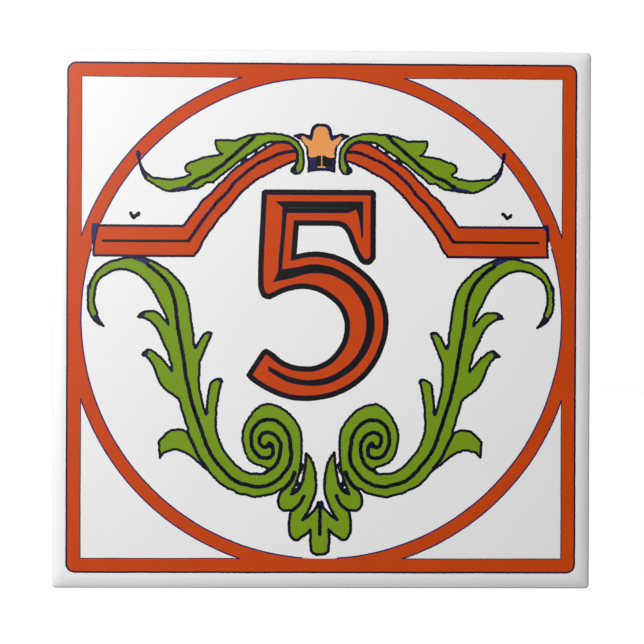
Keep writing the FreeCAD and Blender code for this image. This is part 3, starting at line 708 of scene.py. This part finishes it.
ARCH_MIDDLE_LINE = (
    ((-61.7, 21.65), (-49.6, 21.65), (-37.5, 21.7)),
    ((-37.5, 21.7), (-36.8, 22.8), (-35.3, 25), (-33.5, 27.6), (-31.3, 30.4), (-29.6, 32.6), (-27.6, 34.4),
     (-26, 36.3), (-24.8, 38), (-23, 39.6), (-21.2, 41.2), (-19, 42.9), (-17.6, 43.9), (-15.6, 44.7),
     (-13.6, 45.7), (-11.1, 46.7), (-8.9, 47.1), (-7.2, 47.2)),
)

ARCH_END_DARK = (
    ((-64.8, 26.4),),
    ((-62.6, 26.6),),
    ((-63.1, 25.4), (-63.3, 24.3), (-63.6, 23), (-63.9, 21.6)),
    ((-64.3, 19.9),),
    ((-64.8, 21.2), (-64.9, 23.6)),
)
ARCH_END_DARK_RIGHT = (
    ((62.9, 26.6),),
    ((64.5, 26.7), (64.8, 24), (64.85, 22)),
    ((64.4, 21.5),),
    ((64, 22), (63.85, 24.8)),
    ((62.9, 25.7),),
)

# %% [markdown]
# ## The acanthus leaves over the arch
#
# One leaf lies on each half of the arch. Its thin tail crosses the ring, its edge has three lobes with
# sharp notches, and its head curls over the arch's end. A midrib runs through it.

# %% Upper leaf outlines
UPPER_LEAF = (
    ((-51.8, 46.9), (-51.45, 44.2), (-50.9, 42.6), (-49.9, 41.1), (-48.9, 40.4), (-47.8, 39.6), (-46.4, 39.4),
     (-43.6, 39.1), (-41.6, 39.1), (-40.5, 39.4), (-39.1, 39.6), (-38.1, 40)),
    ((-37, 40.4), (-37.3, 41), (-38, 41.4), (-38.4, 42.2), (-38.2, 43.2), (-37.1, 43.9), (-35.1, 44.6),
     (-33.3, 45.3), (-30.9, 45.7), (-29.2, 46.1)),
    ((-28, 46.3), (-28.9, 46.9), (-29.7, 48.3), (-30, 49.9)),
    ((-29.9, 50.3),),
    ((-24.4, 50.2), (-22.1, 51.1), (-20.1, 51.6), (-17.6, 52), (-11.6, 52.1), (-10.1, 51.7), (-7.8, 50.7),
     (-6.6, 49.6), (-5.9, 48.5), (-5.3, 47.3), (-5.1, 46), (-5.15, 43), (-5.5, 41.8), (-6.3, 41),
     (-7.2, 40.9), (-8.1, 41.2), (-8.5, 41.7), (-8.2, 42.3), (-7.6, 43), (-7.1, 44), (-6.8, 45.4),
     (-6.9, 46.6), (-7.5, 47.8), (-8.3, 48.7), (-9.5, 49.6), (-10.8, 49.95), (-12.9, 49.95), (-14.3, 49.85),
     (-15.8, 49.35), (-17.2, 48.45), (-18.6, 47.5), (-20, 46.6), (-21.1, 45.9), (-22.1, 45.1), (-23.8, 43.95),
     (-25.6, 42.45), (-27.4, 41.05), (-29.2, 39.6)),
    ((-30.7, 38.2),),
    ((-32.3, 38.3), (-33.9, 37.1), (-34.9, 36.6), (-36.5, 36.4), (-39.1, 36), (-43.9, 35.9), (-45.3, 36.5),
     (-47.2, 37.6), (-49.1, 38.7), (-50, 39.7), (-50.9, 41.3), (-51.4, 43.5)),
)

UPPER_LEAF_MIDRIB = (
    ((-19.1, 51.4), (-20.3, 50), (-22.1, 48.5), (-24.4, 46.4), (-26.9, 44.3), (-27.9, 43.2), (-29.9, 41.9),
     (-32.5, 40), (-34.1, 39.5), (-36.5, 38), (-37.6, 37.2)),
)

UPPER_LEAF_DARK = (
    (((-52.2, 47.3), (-51.4, 46.9), (-51.15, 44.2), (-50.7, 42.4), (-49.3, 40.7)),
     ((-49.3, 39), (-50.6, 40.8), (-51.45, 43.6), (-52.5, 46.4)),),
    (((-37, 37.6),), ((-36.4, 36.6),), ((-39.1, 36.1), (-42.6, 36)), ((-42.2, 36.4),),),
    (((-20.3, 51.7),), ((-17.8, 52),), ((-18.9, 50.6),),),
    (((-8.2, 41.6), (-7.9, 40.7), (-7, 40.8)), ((-6.9, 42.1), (-7.6, 42.5)),),
)

CURL_LINE = (
    ((-7.7, 41.8), (-7.4, 42.9), (-6.9, 44), (-6.7, 45.4), (-6.8, 46.7), (-7.4, 47.9), (-8.2, 48.8),
     (-9.5, 49.7), (-10.8, 50.1)),
)

LEAF_TO_ARCH_DARK = (
    ((-22.9, 44.7), (-21.1, 45.9), (-18.6, 47.5), (-15.8, 49.2), (-14.3, 49.7), (-12.9, 49.9), (-10.8, 49.95),
     (-9.5, 49.6)),
    ((-8, 48.6),),
    ((-10.2, 49.6), (-11.5, 49.75), (-12.9, 49.55), (-14.3, 49), (-15.7, 48.1), (-17.2, 47.1), (-18.6, 46.1),
     (-20.3, 44.9), (-22.1, 43.9)),
    ((-22.9, 43.4),),
)

WHITE_DASHES = (
    (((-21.2, 45.5),), ((-19.2, 46.9),), ((-18.8, 46.4),), ((-20.8, 44.9),),),
    (((-18.15, 47.5),), ((-16.4, 48.7),), ((-16, 48.1),), ((-17.75, 46.9),),),
    (((-15.5, 49.2),), ((-14.3, 49.65),), ((-14.1, 49.2),), ((-15.2, 48.6),),),
)

# %% [markdown]
# ## The side scrolls
#
# Each scroll is one green stem: it starts in a thin curl under the arch, swells, sheds five leaves,
# and ends in a volute of two turns. The volute's line is a spiral, and the stem's midrib winds into it
# as one line. Where two lines meet in a notch or a tip they close up into a dark patch.

# %% Side scroll outlines
SCROLL_OUT = 0.2
SCROLL_BARE = 6
SCROLL = (
    ((-61.3, -2.4), (-62.8, -1.6), (-63.8, -0.8), (-64.5, 0.1), (-65.1, 1.1), (-65.6, 2.1), (-65.8, 3.5),
     (-65.8, 6.4), (-65.6, 8.4), (-65.1, 9.9), (-64.4, 11.3), (-63.5, 12.7), (-62.4, 13.8), (-60.6, 15.1),
     (-58.8, 15.9), (-57.2, 16.3), (-55.6, 16.8), (-52.6, 17.1), (-50, 16.9), (-48.6, 16.3), (-46.4, 15.4),
     (-45, 14.5), (-43.4, 13.5), (-42.1, 12.2), (-40.6, 10.7), (-39.4, 9.2), (-38.3, 7.2), (-37.6, 5),
     (-37.1, 2.5), (-36.8, 0), (-36.5, -2), (-36.1, -4.6), (-36, -7.2)),
    ((-35.5, -8.5), (-34.7, -7.3), (-34, -5.9), (-33.2, -4.8), (-32.4, -4.2), (-31.7, -4.1)),
    ((-31, -4.4), (-31.3, -5.4), (-31.8, -6.6), (-32.7, -8.6), (-33.3, -10.2), (-33.9, -11.6),
     (-34.3, -12.8), (-34.4, -15), (-34.4, -19.2), (-33.9, -21.6), (-33.4, -23.8), (-33, -25.6)),
    ((-32.4, -27.2), (-32.1, -25), (-31.9, -23.2), (-31.6, -21), (-31.4, -19.4), (-30.8, -18.2),
     (-29.6, -17.5), (-28.7, -17.3)),
    ((-27.8, -17.9), (-28.3, -19), (-28.7, -21), (-29, -23), (-29.3, -24.5), (-29.5, -27), (-29.5, -31.8),
     (-29, -33.6), (-28.5, -35), (-28, -36.1), (-27.3, -37.5), (-26.1, -39.1), (-25.1, -40.3),
     (-23.9, -41.6), (-22, -43), (-20.3, -43.8), (-18.1, -44), (-16, -43.9)),
    ((-14.6, -42.8), (-15.5, -42.2), (-16.6, -41.8), (-18.5, -41.2), (-20, -40.1), (-20.8, -38.8),
     (-21.5, -36.8), (-21.9, -34.5), (-21.8, -32.3), (-21.3, -30.5), (-20.4, -28.8), (-19.2, -27),
     (-17.6, -25.4), (-15.9, -24.5), (-14.5, -24.4), (-12.7, -24.8), (-11.1, -25.5), (-9.7, -26.4),
     (-8.3, -27.7), (-6.9, -29.5), (-5.8, -31.6), (-5.35, -33.9), (-5.3, -37), (-5.5, -41), (-5.8, -43),
     (-6.2, -44.6)),
    ((-7.2, -47.6), (-8.8, -49)),
    ((-10.5, -48.1), (-11.5, -48.5), (-12.9, -49.5), (-14.5, -49.9), (-16.4, -50.3), (-18.3, -50.6),
     (-19.6, -50.4), (-21.5, -49.9), (-23.1, -49.6), (-24.9, -48.6), (-26.2, -48.1), (-28.1, -46.9),
     (-29.6, -45.5), (-30.8, -44)),
    ((-31.6, -43.1), (-33.1, -42), (-34.2, -41.1), (-35.6, -39.9), (-37.1, -38.8), (-38.4, -38),
     (-39.6, -37.6), (-40.6, -37.25), (-41.6, -37.3), (-42.6, -37.6), (-44.1, -38.1)),
    ((-45.3, -39.5),),
    ((-45.55, -35.1), (-44.4, -33.7), (-43.4, -32.7), (-42.6, -32.1), (-41.4, -31.75), (-39.6, -31.65),
     (-38.3, -32.1)),
    ((-37.5, -32.6), (-37.3, -31.8), (-38, -30), (-38.5, -28), (-39.2, -26), (-39.5, -24.6)),
    ((-40, -23.1), (-41.2, -22.1), (-42.8, -21), (-44.2, -19.9), (-45, -18.9), (-46, -17), (-46.7, -15.2),
     (-47.4, -13.5), (-48.3, -12.1), (-49.4, -11)),
    ((-50.5, -10.7), (-49.5, -9.6), (-48.6, -9.2), (-47.6, -9.5), (-46.5, -10.4), (-45.4, -11.3),
     (-44.3, -12.4), (-43.2, -13.8)),
    ((-42, -14.9), (-42.2, -13.4), (-42.7, -12), (-43, -10.2), (-43.8, -8.6), (-44.7, -6.6), (-45.5, -4.6),
     (-46.4, -3), (-47.6, -1.6), (-49.1, -0.5), (-50.3, 0)),
    ((-51.6, 0.1), (-50.8, 1.1), (-49.8, 1.6), (-48.2, 1.7), (-46.5, 1.5), (-45.6, 0.8), (-44.4, -0.4)),
    ((-43, -1.8), (-43.6, 0.2), (-44.4, 1.9), (-45.6, 4.1), (-46.6, 6.2), (-47.3, 7.5), (-48.2, 8.9),
     (-49.4, 10.3), (-50.7, 11.5), (-51.7, 12.2), (-53.1, 12.9), (-54.9, 13.5), (-57.2, 13.5), (-59.2, 13),
     (-60.6, 12.2), (-62.1, 11.3), (-63.1, 10.1), (-63.7, 8.6), (-64.05, 7), (-64.1, 4.2), (-63.8, 2.9),
     (-63.3, 1.7), (-63.1, 0.4), (-62.4, -0.9)),
)

SCROLL_MIDRIB = (
    ((-49.1, 15), (-47.9, 14.2), (-46.6, 13.2), (-45, 11.7), (-43.4, 9.8), (-42.3, 7.7), (-41.5, 5.3),
     (-41, 3), (-40.7, 0), (-40.4, -2.4), (-40, -4.8), (-39.5, -7.6), (-39.1, -10), (-38.7, -12.5),
     (-38.4, -14.5), (-38.1, -16.6), (-37.6, -18.7), (-37.1, -20.8), (-36.6, -23), (-36, -25),
     (-35.3, -27.2), (-34.5, -29.5), (-33.6, -32), (-32.7, -34.7), (-31.1, -38.2), (-29.1, -41),
     (-26.9, -43.6), (-25.1, -45.3), (-22.9, -46.6), (-20.8, -47.1), (-18.5, -47.7), (-16.4, -47.6),
     (-14, -46.9), (-11.7, -45.4), (-9.9, -43.3), (-8.6, -41.1), (-8.2, -39), (-8.4, -36.6), (-8.8, -33.9),
     (-9.7, -31.8), (-11.2, -30), (-12.8, -29), (-14.5, -28.8), (-16.5, -29.1), (-18.1, -30.3),
     (-19.1, -32), (-19.5, -34), (-19.3, -36.1), (-18.4, -38), (-17.3, -39.2), (-15.9, -39.6),
     (-14.3, -39.4), (-13.5, -38.7), (-13.4, -37.2), (-13.7, -36), (-14.5, -35.3)),
)

VOLUTE_INNER_LINE = (
    ((-15.8, -43.9), (-14.5, -42.9), (-13, -41.9), (-11.8, -40), (-11.3, -37.6), (-11.4, -35.4),
     (-12.5, -33.5), (-14, -32.5), (-15.5, -32.4), (-16.7, -33.1), (-17.2, -34.3), (-17, -35.6),
     (-16.3, -36.4), (-15.3, -36.4), (-14.5, -35.3)),
)

LEAF_STEM_LINE = (
    ((-37.5, -32.6), (-36.7, -34.2), (-35.9, -35.8), (-35.2, -37.3), (-34.5, -38.8), (-33.7, -40.2),
     (-32.7, -41.5), (-31.8, -42.7)),
)

SCROLL_DARK = (
    (((-63.5, 0.9),), ((-62.5, -0.9), (-61.1, -2.3)), ((-61.3, -2.7), (-63.2, -1.8), (-64.6, -0.2)),),
    (((-66.1, 9.1),), ((-66.1, 8),), ((-65, 8),), ((-64.8, 9.3),),),
    (((-55, 17.2),), ((-50.2, 17.2),), ((-48.2, 15.6),), ((-49.5, 15), (-52.2, 16.2)),),
    (((-36.2, -6.4),), ((-36.1, -8.7), (-35.1, -8.8)), ((-34.5, -7.4),), ((-35.2, -7.6),),),
    (((-33, -25.4),), ((-32.8, -27.6), (-31.9, -27.5)), ((-31.8, -25),), ((-32.2, -25.6),),),
    (((-42.3, -13.6),), ((-43, -14.6), (-42, -15.5)), ((-41.7, -14.6),),),
    (((-43.3, -0.1),), ((-44.1, -1), (-43, -2.4)), ((-42.7, -1.2),),),
    (((-52, 0), (-51, 1.3), (-49.6, 1.7)), ((-49.9, 0.5),), ((-49.5, -0.4),),),
    (((-50.8, -10.8), (-49.9, -9.6), (-48.6, -8.9)), ((-48.8, -10.1),), ((-49.2, -11.1),),),
    (((-29.8, -17.3), (-28.6, -16.9), (-27.5, -17.9)), ((-28.2, -18.9),), ((-28.8, -17.9),),),
    (((-33, -4.3), (-31.7, -3.7), (-30.7, -4.4)), ((-31.2, -5.2),), ((-31.8, -4.7),),),
)

VOLUTE_SWELL = (
    ((-8.6, -35.4), (-8.35, -37.5), (-8.3, -39.5), (-8.7, -41.1)),
)

VOLUTE_EYE = (((-15.1, -36.3), (-14.2, -36.2)),)

LOBE_STROKE = (
    ((-10.6, -48.4), (-9.1, -47.1), (-8.0, -45.6), (-7.25, -43.8)),
)

# %% [markdown]
# ## The palmette and the bud
#
# On the axis, a palmette of lobes grows down from between the volutes, and a peach bud with two petals
# stands over the gap of the arch. Both are drawn as half outlines from the top of the axis to the
# foot, and the other half is the same list mirrored and reversed.

# %% Palmette and bud outlines
PALMETTE = (
    ((0, -52.8),),
    ((-0.42, -52.05),),
    ((-1.0, -53.6), (-2.2, -54.9), (-3.6, -56.2)),
    ((-5.0, -57.15), (-3.2, -54.2), (-2.2, -51.9), (-1.3, -49.2), (-1.2, -46.3), (-1.8, -42.2), (-2.7, -40)),
    ((-4.0, -38.2), (-4.15, -40), (-4.25, -41.6), (-4.5, -43.2), (-4.75, -44.6), (-5.0, -46),
     (-5.5, -47.3), (-6.4, -48.9)),
    ((-8.3, -49.9), (-7.6, -48.2), (-6.6, -46)),
    ((-6.2, -44.6),),
    ((-6.9, -44.1), (-7.7, -45.9), (-8.9, -47.3)),
    ((-10.6, -48.5), (-11.5, -50.0), (-11.9, -51.7), (-11.5, -53.5), (-10.6, -54.35), (-9.3, -54.4)),
    ((-8.1, -54.4), (-8.6, -56.3), (-8.65, -60.2), (-8.1, -61.8), (-6.9, -62.8), (-5.2, -61.9), (-3.6, -60.85)),
    ((-2.6, -59.75), (-2.55, -64.6), (-2.2, -66.1), (-1.2, -66.8), (0, -66.9)),
)
PALMETTE_INSIDE = (5, 6, 7)
PALMETTE_SPINE = (((0.03, -53.2), (0.03, -57), (0.03, -61.2)),)
LOBE_VEIN = (((-7.9, -54.4), (-6.8, -53.6), (-5.8, -52.6), (-4.6, -50.3)),)

JUNCTION_DARK = (
    ((-5.4, -40.5), (-5.5, -42), (-5.9, -43.6), (-6.4, -45), (-6.7, -46.0), (-7.3, -47.0), (-8.1, -48.2)),
    ((-8.6, -49.7),),
    ((-8.0, -49.7), (-7.0, -49.3), (-6.3, -48.6), (-5.75, -47.8), (-5.2, -46.7), (-4.7, -45.9),
     (-4.45, -44.6), (-4.2, -43), (-4.05, -41.5), (-3.9, -40)),
    ((-4.6, -41.4),),
)
JUNCTION_SLIT = (
    ((-4.6, -42), (-4.7, -43.2), (-5.0, -44.5), (-5.35, -45.4), (-5.75, -46.4)),
    ((-6.2, -46.2), (-6.0, -44.9), (-5.5, -44), (-5.0, -43)),
)
JUNCTION_DOT = (
    ((-7.2, -47.75), (-6.9, -48.15)),
    ((-6.6, -47.95), (-6.8, -47.55)),
)

BUD = (
    ((0, 54.75), (-1.5, 54.55), (-2.4, 53.8), (-2.75, 52.6)),
    ((-3.1, 51.4), (-4.4, 51.6), (-5.7, 52.0), (-6.6, 51.7)),
    ((-7.6, 51.5), (-6.5, 51.0), (-5.4, 50.1), (-4.3, 48.7), (-3.95, 47.4), (-3.85, 45.9)),
    ((-3.65, 45.2),),
    ((-3.55, 41.6), (-2.4, 41.9)),
    ((0, 42.1),),
)
BUD_FLOWER = (
    ((0, 54.25), (-1.2, 54.05), (-1.95, 53.2), (-2.2, 52.2), (-2.35, 51.2)),
    ((-2.85, 50.05),),
    ((-4.2, 50.8), (-5.5, 51.4), (-5.7, 50.9), (-4.9, 49.6), (-3.95, 48.4), (-3.6, 47.2), (-3.5, 45.7)),
    ((-2.0, 45.5),),
    ((-0.9, 46.1), (0, 45.9)),
)
BUD_STEM = (
    ((0, 46.2),),
    ((-0.16, 46.1),),
    ((-0.14, 43),),
    ((-1.15, 43),),
    ((-1.15, 42.6),),
    ((0, 42.6),),
)
BUD_SHADE = (
    ((-1.6, 46.3),),
    ((-1.8, 43.6), (-1, 42.9)),
    ((3.1, 43),),
    ((3.3, 46),),
)


def whole(half):
    """A closed outline from its left half, which runs from the top of the axis to its foot.

    A curve that meets the axis runs on over it, and a lone point on the axis is a corner.
    """
    left = [(place == 0, point) for stretch in half for place, point in enumerate(stretch)]
    left[0] = (len(half[0]) == 1, left[0][1])
    right = [(corner, (-x, z)) for corner, (x, z) in reversed(left[1:-1])]
    ring = left + right
    first = [corner for corner, _ in ring].index(True)
    outline = []
    for corner, point in ring[first:] + ring[:first]:
        if corner:
            outline.append([])
        outline[-1].append(point)
    return outline


# %% [markdown]
# ## The numeral
#
# A plain 5 with a heavy black outline and an inline, which is a black figure inside the red one. A
# broad line drawn along the edge would leave nicks at the corners. So the black is the area between
# the edge and the same edge moved inwards, with a thin rim of plum where black runs over red.

# %% Numeral outlines
NUMERAL = (
    ((-16.9, 35.7),),
    ((-16.1, 36.4),),
    ((14.7, 36.4),),
    ((15.5, 35.6),),
    ((15.5, 17.0), (13.9, 15.3), (11.8, 15.4), (10.0, 17.6), (8.4, 21.2), (6.9, 24.6), (5.5, 25.8)),
    ((3.4, 26.15),),
    ((-6.3, 26.15),),
    ((-6.9, 18.1), (-3.4, 18.8), (1.0, 18.7), (6.2, 17.2), (11.4, 14.0), (15.8, 9.6), (18.5, 4.0),
     (19.2, -2.0), (18.0, -8.0), (15.0, -14.0), (10.6, -18.6), (5.3, -21.65), (0.2, -23.05), (-4.9, -23.45),
     (-10.0, -22.75), (-14.5, -21.0), (-18.4, -18.7), (-20.4, -17.15)),
    ((-21.1, -16.1),),
    ((-16.9, -9.6), (-15.7, -8.7), (-14.4, -9.1), (-10.0, -12.3), (-4.6, -13.6), (0.2, -12.7), (4.4, -9.2),
     (6.6, -4.0), (5.8, 1.6), (2.0, 5.8), (-3.4, 8.1), (-8.8, 7.7)),
    ((-14.5, 5.2), (-16.4, 5.8), (-17.5, 7.8), (-17.8, 10.4)),
)
NUMERAL_INLINE = (
    ((-13.1, 33.1),),
    ((11.9, 33.1),),
    ((11.9, 22.8),),
    ((11.35, 22.8),),
    ((11, 26.5), (10.4, 29.4)),
    ((9.9, 30.8),),
    ((8.9, 30.3),),
    ((7.4, 29.8),),
    ((-9.7, 29.7), (-10.1, 24.8), (-10.5, 20.0), (-10.9, 15.1)),
    ((-10.9, 13.8), (-9.1, 14.1), (-6.0, 14.6), (-2.6, 15.3), (0.5, 15.1), (5.6, 13.4), (11.2, 9.2),
     (13.9, 5.5), (15.2, 0), (14.9, -5.0), (11.5, -12.0), (5.6, -17.0), (0.5, -18.95), (-5.3, -18.95),
     (-9.2, -18.1)),
    ((-14.9, -14.9),),
    ((-14.8, -13.5),),
    ((-13.2, -14.4), (-8.0, -16.8), (-1.0, -17.3), (6.0, -14.5), (11.4, -8.2), (12.8, -1.0),
     (10.8, 5.8), (5.2, 11.2), (-2.2, 12.7), (-8.6, 11.2)),
    ((-13.7, 10.1),),
    ((-12.2, 13.0), (-11.95, 17.7), (-11.4, 23.4)),
    ((-11.0, 31.3),),
)
# INLINE_GLINT is a painted highlight: a thin lighter line laid along the inline's black top bar.
INLINE_GLINT = (((-9.6, 31.2), (8.2, 31.2)),)
NUMERAL_LINE = 1.27
NUMERAL_FRINGE = 0.3
NUMERAL_HAND = {"Tremble": 0.07 * mm, "Drift": 0.0}


def moved_in(outline, distance):
    """The same outline at a distance inside itself, mitred at its corners."""
    points = [Vector(point) for stretch in outline for point in stretch]
    turn = sum(here.cross(after) for here, after in zip(points, points[1:] + points[:1]))
    side = 1 if turn > 0 else -1
    inside = []
    for before, here, after in zip(points[-1:] + points[:-1], points, points[1:] + points[:1]):
        first, second = (here - before).normalized(), (after - here).normalized()
        across = (first + second).normalized().orthogonal() * side
        inside.append(here + across * distance / across.dot(first.orthogonal() * side))
    given = iter(inside)
    return [[tuple(next(given)) for point in stretch] for stretch in outline]


# %% Red and black of the numeral
red_numeral = printed("red_numeral_print", "numeral", [
    area([NUMERAL], red_glaze, **NUMERAL_HAND),
])
FRINGE_START = 1.0
fringe = [moved_in(NUMERAL, FRINGE_START), moved_in(NUMERAL, NUMERAL_LINE + NUMERAL_FRINGE)]
black_numeral = printed("black_numeral_line_print", "numeral_outline", [
    area(fringe, plum_glaze, Top=FRINGE_TOP, **NUMERAL_HAND),
    area([NUMERAL, moved_in(NUMERAL, NUMERAL_LINE)], black_glaze, Top=DARK_TOP, **NUMERAL_HAND),
    area([NUMERAL_INLINE], plum_glaze, Top=FRINGE_TOP, **NUMERAL_HAND),
    area([moved_in(NUMERAL_INLINE, NUMERAL_FRINGE)], black_glaze, Top=DARK_TOP, **NUMERAL_HAND),
    # The glint line is a painted highlight over the black.
    line(INLINE_GLINT, painted_highlight_ink, Width=0.3 * mm, Top=GLINT_TOP, **NUMERAL_HAND),
])

# %% [markdown]
# ## Colours first, then the dark lines
#
# The red and the green go down first and reach to the middle of their dark lines. The lines go over
# them in the order of a real print. Lines over red turn plum, the middle line of the level moulding
# is black, and the veins of the leaves are the heaviest.

# %% Areas of the arch, the leaves, the scrolls, the palmette and the bud
red_arch = printed("red_arch_print", "arch", [area([ARCH, ARCH_RIGHT], red_glaze)])
green_leaves = printed("green_leaf_print", "upper_leaves", [
    area(pair(UPPER_LEAF), green_glaze),
])
green_scrolls = printed("green_scroll_print", "side_scrolls", [
    area(pair(SCROLL, SCROLL_OUT), green_glaze),
])
green_palmette = printed("green_palmette_print", "palmette", [
    area([whole(PALMETTE)], green_glaze, Top=PALMETTE_TOP),
])
peach_bud = printed("peach_bud_print", "bud", [
    area([whole(BUD_FLOWER)], peach_glaze, Top=BUD_TOP),
    area([whole(BUD_STEM)], peach_glaze, Top=BUD_TOP, Tremble=0.05 * mm),
])

# %% Dark lines and patches
HAIR = 0.66 * mm
BAR = 0.7 * mm
VEIN = 1.1 * mm
runs = [list(stretch) + list(following[:1]) for stretch, following in zip(PALMETTE, PALMETTE[1:] + ((),))]
palmette_lines = [run for number, run in enumerate(runs) if number not in PALMETTE_INSIDE]
scroll_lines = [run for number, run in enumerate(edges_of(SCROLL)) if number != SCROLL_BARE]
key_lines = printed("key_line_print", "key_lines", [
    area([whole(BUD)], violet_glaze, Top=DARK_TOP),
    area([BUD_SHADE], black_glaze, Top=DARK_TOP),
    line(edges_of(whole(BUD)), navy_glaze, Width=0.68 * mm),
    area([ARCH_END_DARK, ARCH_END_DARK_RIGHT], violet_glaze, Top=DARK_TOP),
    area(pair(LEAF_TO_ARCH_DARK) + sum([pair(dash) for dash in WHITE_DASHES], []), navy_glaze, Top=DARK_TOP),
    area(sum([pair(patch) for patch in UPPER_LEAF_DARK], []), violet_glaze, Top=DARK_TOP),
    area(sum([pair(patch, SCROLL_OUT) for patch in SCROLL_DARK], []), violet_glaze, Top=DARK_TOP),
    area(pair(JUNCTION_DARK) + pair(JUNCTION_SLIT) + pair(JUNCTION_DOT), navy_glaze, Top=DARK_TOP),
    line_pair(scroll_lines, navy_glaze, SCROLL_OUT, Width=0.72 * mm),
    line_pair(LEAF_STEM_LINE, navy_glaze, SCROLL_OUT, Width=0.95 * mm),
    line_pair(VOLUTE_INNER_LINE, navy_glaze, SCROLL_OUT, Width=1.1 * mm),
    line_pair(SCROLL_MIDRIB, navy_glaze, SCROLL_OUT, Width=VEIN, Uneven=0.3),
    line_pair(VOLUTE_SWELL + VOLUTE_EYE, navy_glaze, SCROLL_OUT, Width=1.1 * mm),
    line_pair(LOBE_STROKE, navy_glaze, Width=1.2 * mm),
    line_pair(edges_of(UPPER_LEAF), navy_glaze, Width=HAIR),
    line_pair(UPPER_LEAF_MIDRIB, navy_glaze, Width=1.05 * mm),
    line_pair(CURL_LINE, navy_glaze, Width=0.85 * mm),
    line_pair(ARCH_TOP_LINE + ARCH_BOTTOM_LINE, plum_glaze, Width=BAR, Tremble=0.05 * mm, Drift=0.03 * mm),
    line(ARCH_END_LINE, plum_glaze, Width=HAIR),
    line_pair(ARCH_UPPER_LINE + ARCH_LOWER_LINE, plum_glaze, Width=BAR),
    line_pair(ARCH_MIDDLE_LINE[:1], black_glaze, Width=0.75 * mm, Tremble=0.05 * mm, Drift=0.03 * mm),
    line_pair(ARCH_MIDDLE_LINE[1:], plum_glaze, Width=0.95 * mm),
    line_pair(palmette_lines, navy_glaze, Width=0.8 * mm),
    line_pair(LOBE_VEIN, navy_glaze, Width=1.0 * mm),
    line(PALMETTE_SPINE, navy_glaze, Width=1.05 * mm),
])

# %% [markdown]
# Two tiny black ticks stand over the arch, one on each side, left by the hand that cut the drawing.
# They aren't mirror images, so each has its own short strokes.

# %% Ticks
LEFT_TICK = (((-53.8, 29.5), (-52.9, 28.2)), ((-52.9, 28.1), (-51.6, 29.4)), ((-52.6, 28.6), (-51.6, 29.0)))
RIGHT_TICK = (((51.75, 29.7), (52.85, 28.4)), ((52.85, 28.4), (53.95, 29.4)))
ticks = printed("black_tick_print", "ticks", [
    line(LEFT_TICK + RIGHT_TICK, black_glaze, Width=0.95 * mm),
])

# %% [markdown]
# ## Floor and light
#
# The photo is a studio picture on white. A soft lamp stands close in front on the upper left, so the
# face is brightest there and falls off to the lower right. A broader panel farther off on the left is
# what the gloss mirrors as a faint veil. A third lamp behind the tile on the right can't reach the
# face: it shows the back and the right edge from the other sides. The floor is plain: to the camera it
# is mostly white, with a share of lit grey in it that keeps the tile's shadow.

# %% Floor
FLOOR_SIZE = 3.0
FLOOR_GLOW = 0.98


def floor_material():
    material, tree = new_material("plain_white_studio_floor")
    matt = add(tree, "ShaderNodeBsdfDiffuse", Color=linear("5A5A5A"))
    seen = add(tree, "ShaderNodeLightPath").outputs["Is Camera Ray"]
    share = add(tree, "ShaderNodeMath", {"operation": "MULTIPLY"}, _0=seen, _1=FLOOR_GLOW)
    glow = add(tree, "ShaderNodeEmission", Color=(1, 1, 1, 1), Strength=share.outputs[0])
    both = add(tree, "ShaderNodeAddShader", _0=matt.outputs[0], _1=glow.outputs[0])
    add(tree, "ShaderNodeOutputMaterial", Surface=both.outputs[0])
    return material


bm = bmesh.new()
bmesh.ops.create_grid(bm, x_segments=1, y_segments=1, size=FLOOR_SIZE / 2)
floor_mesh = bpy.data.meshes.new("floor")
bm.to_mesh(floor_mesh)
bm.free()
floor_mesh.transform(Matrix.Translation((0, 0, low.z - 0.0001)))
floor_mesh.materials.append(floor_material())
floor = bpy.data.objects.new("floor", floor_mesh)
scene.collection.objects.link(floor)

# %% Lamps and world
def soft_lamp(name, place, aim, size, power):
    """A square area lamp that faces a point."""
    lamp = bpy.data.lights.new(name, "AREA")
    lamp.shape = "SQUARE"
    lamp.size = size
    lamp.energy = power
    stand = bpy.data.objects.new(name, lamp)
    away = (Vector(place) - Vector(aim)).normalized()
    stand.matrix_world = Matrix.Translation(place) @ away.to_track_quat("Z", "Y").to_matrix().to_4x4()
    scene.collection.objects.link(stand)
    return stand


KEY_POWER = 3.9
VEIL_POWER = 7.6
BACK_POWER = 8.0
AMBIENT = 0.07
key_lamp = soft_lamp("key_lamp", (-0.47, -0.42, 0.39), (0, 0, 0), 0.30, KEY_POWER)
veil_lamp = soft_lamp("veil_lamp", (-0.54, -0.95, 0.35), (0, 0, 0), 0.7, VEIL_POWER)
back_lamp = soft_lamp("back_lamp", (0.60, 0.90, 0.50), (0, 0, 0), 0.8, BACK_POWER)


def studio_world():
    """White to the camera, a weak even light to everything else."""
    world = bpy.data.worlds.new("white_studio")
    world.use_nodes = True
    tree = world.node_tree
    tree.nodes.clear()
    path = add(tree, "ShaderNodeLightPath")
    seen = path.outputs["Is Camera Ray"]
    strength = add(tree, "ShaderNodeMapRange", _0=seen, _1=0.0, _2=1.0, _3=AMBIENT, _4=1.0)
    sky = add(tree, "ShaderNodeBackground", Color=(1, 1, 1, 1), Strength=strength.outputs[0])
    add(tree, "ShaderNodeOutputWorld", Surface=sky.outputs[0])
    return world


scene.world = studio_world()
scene.view_settings.view_transform = "Standard"
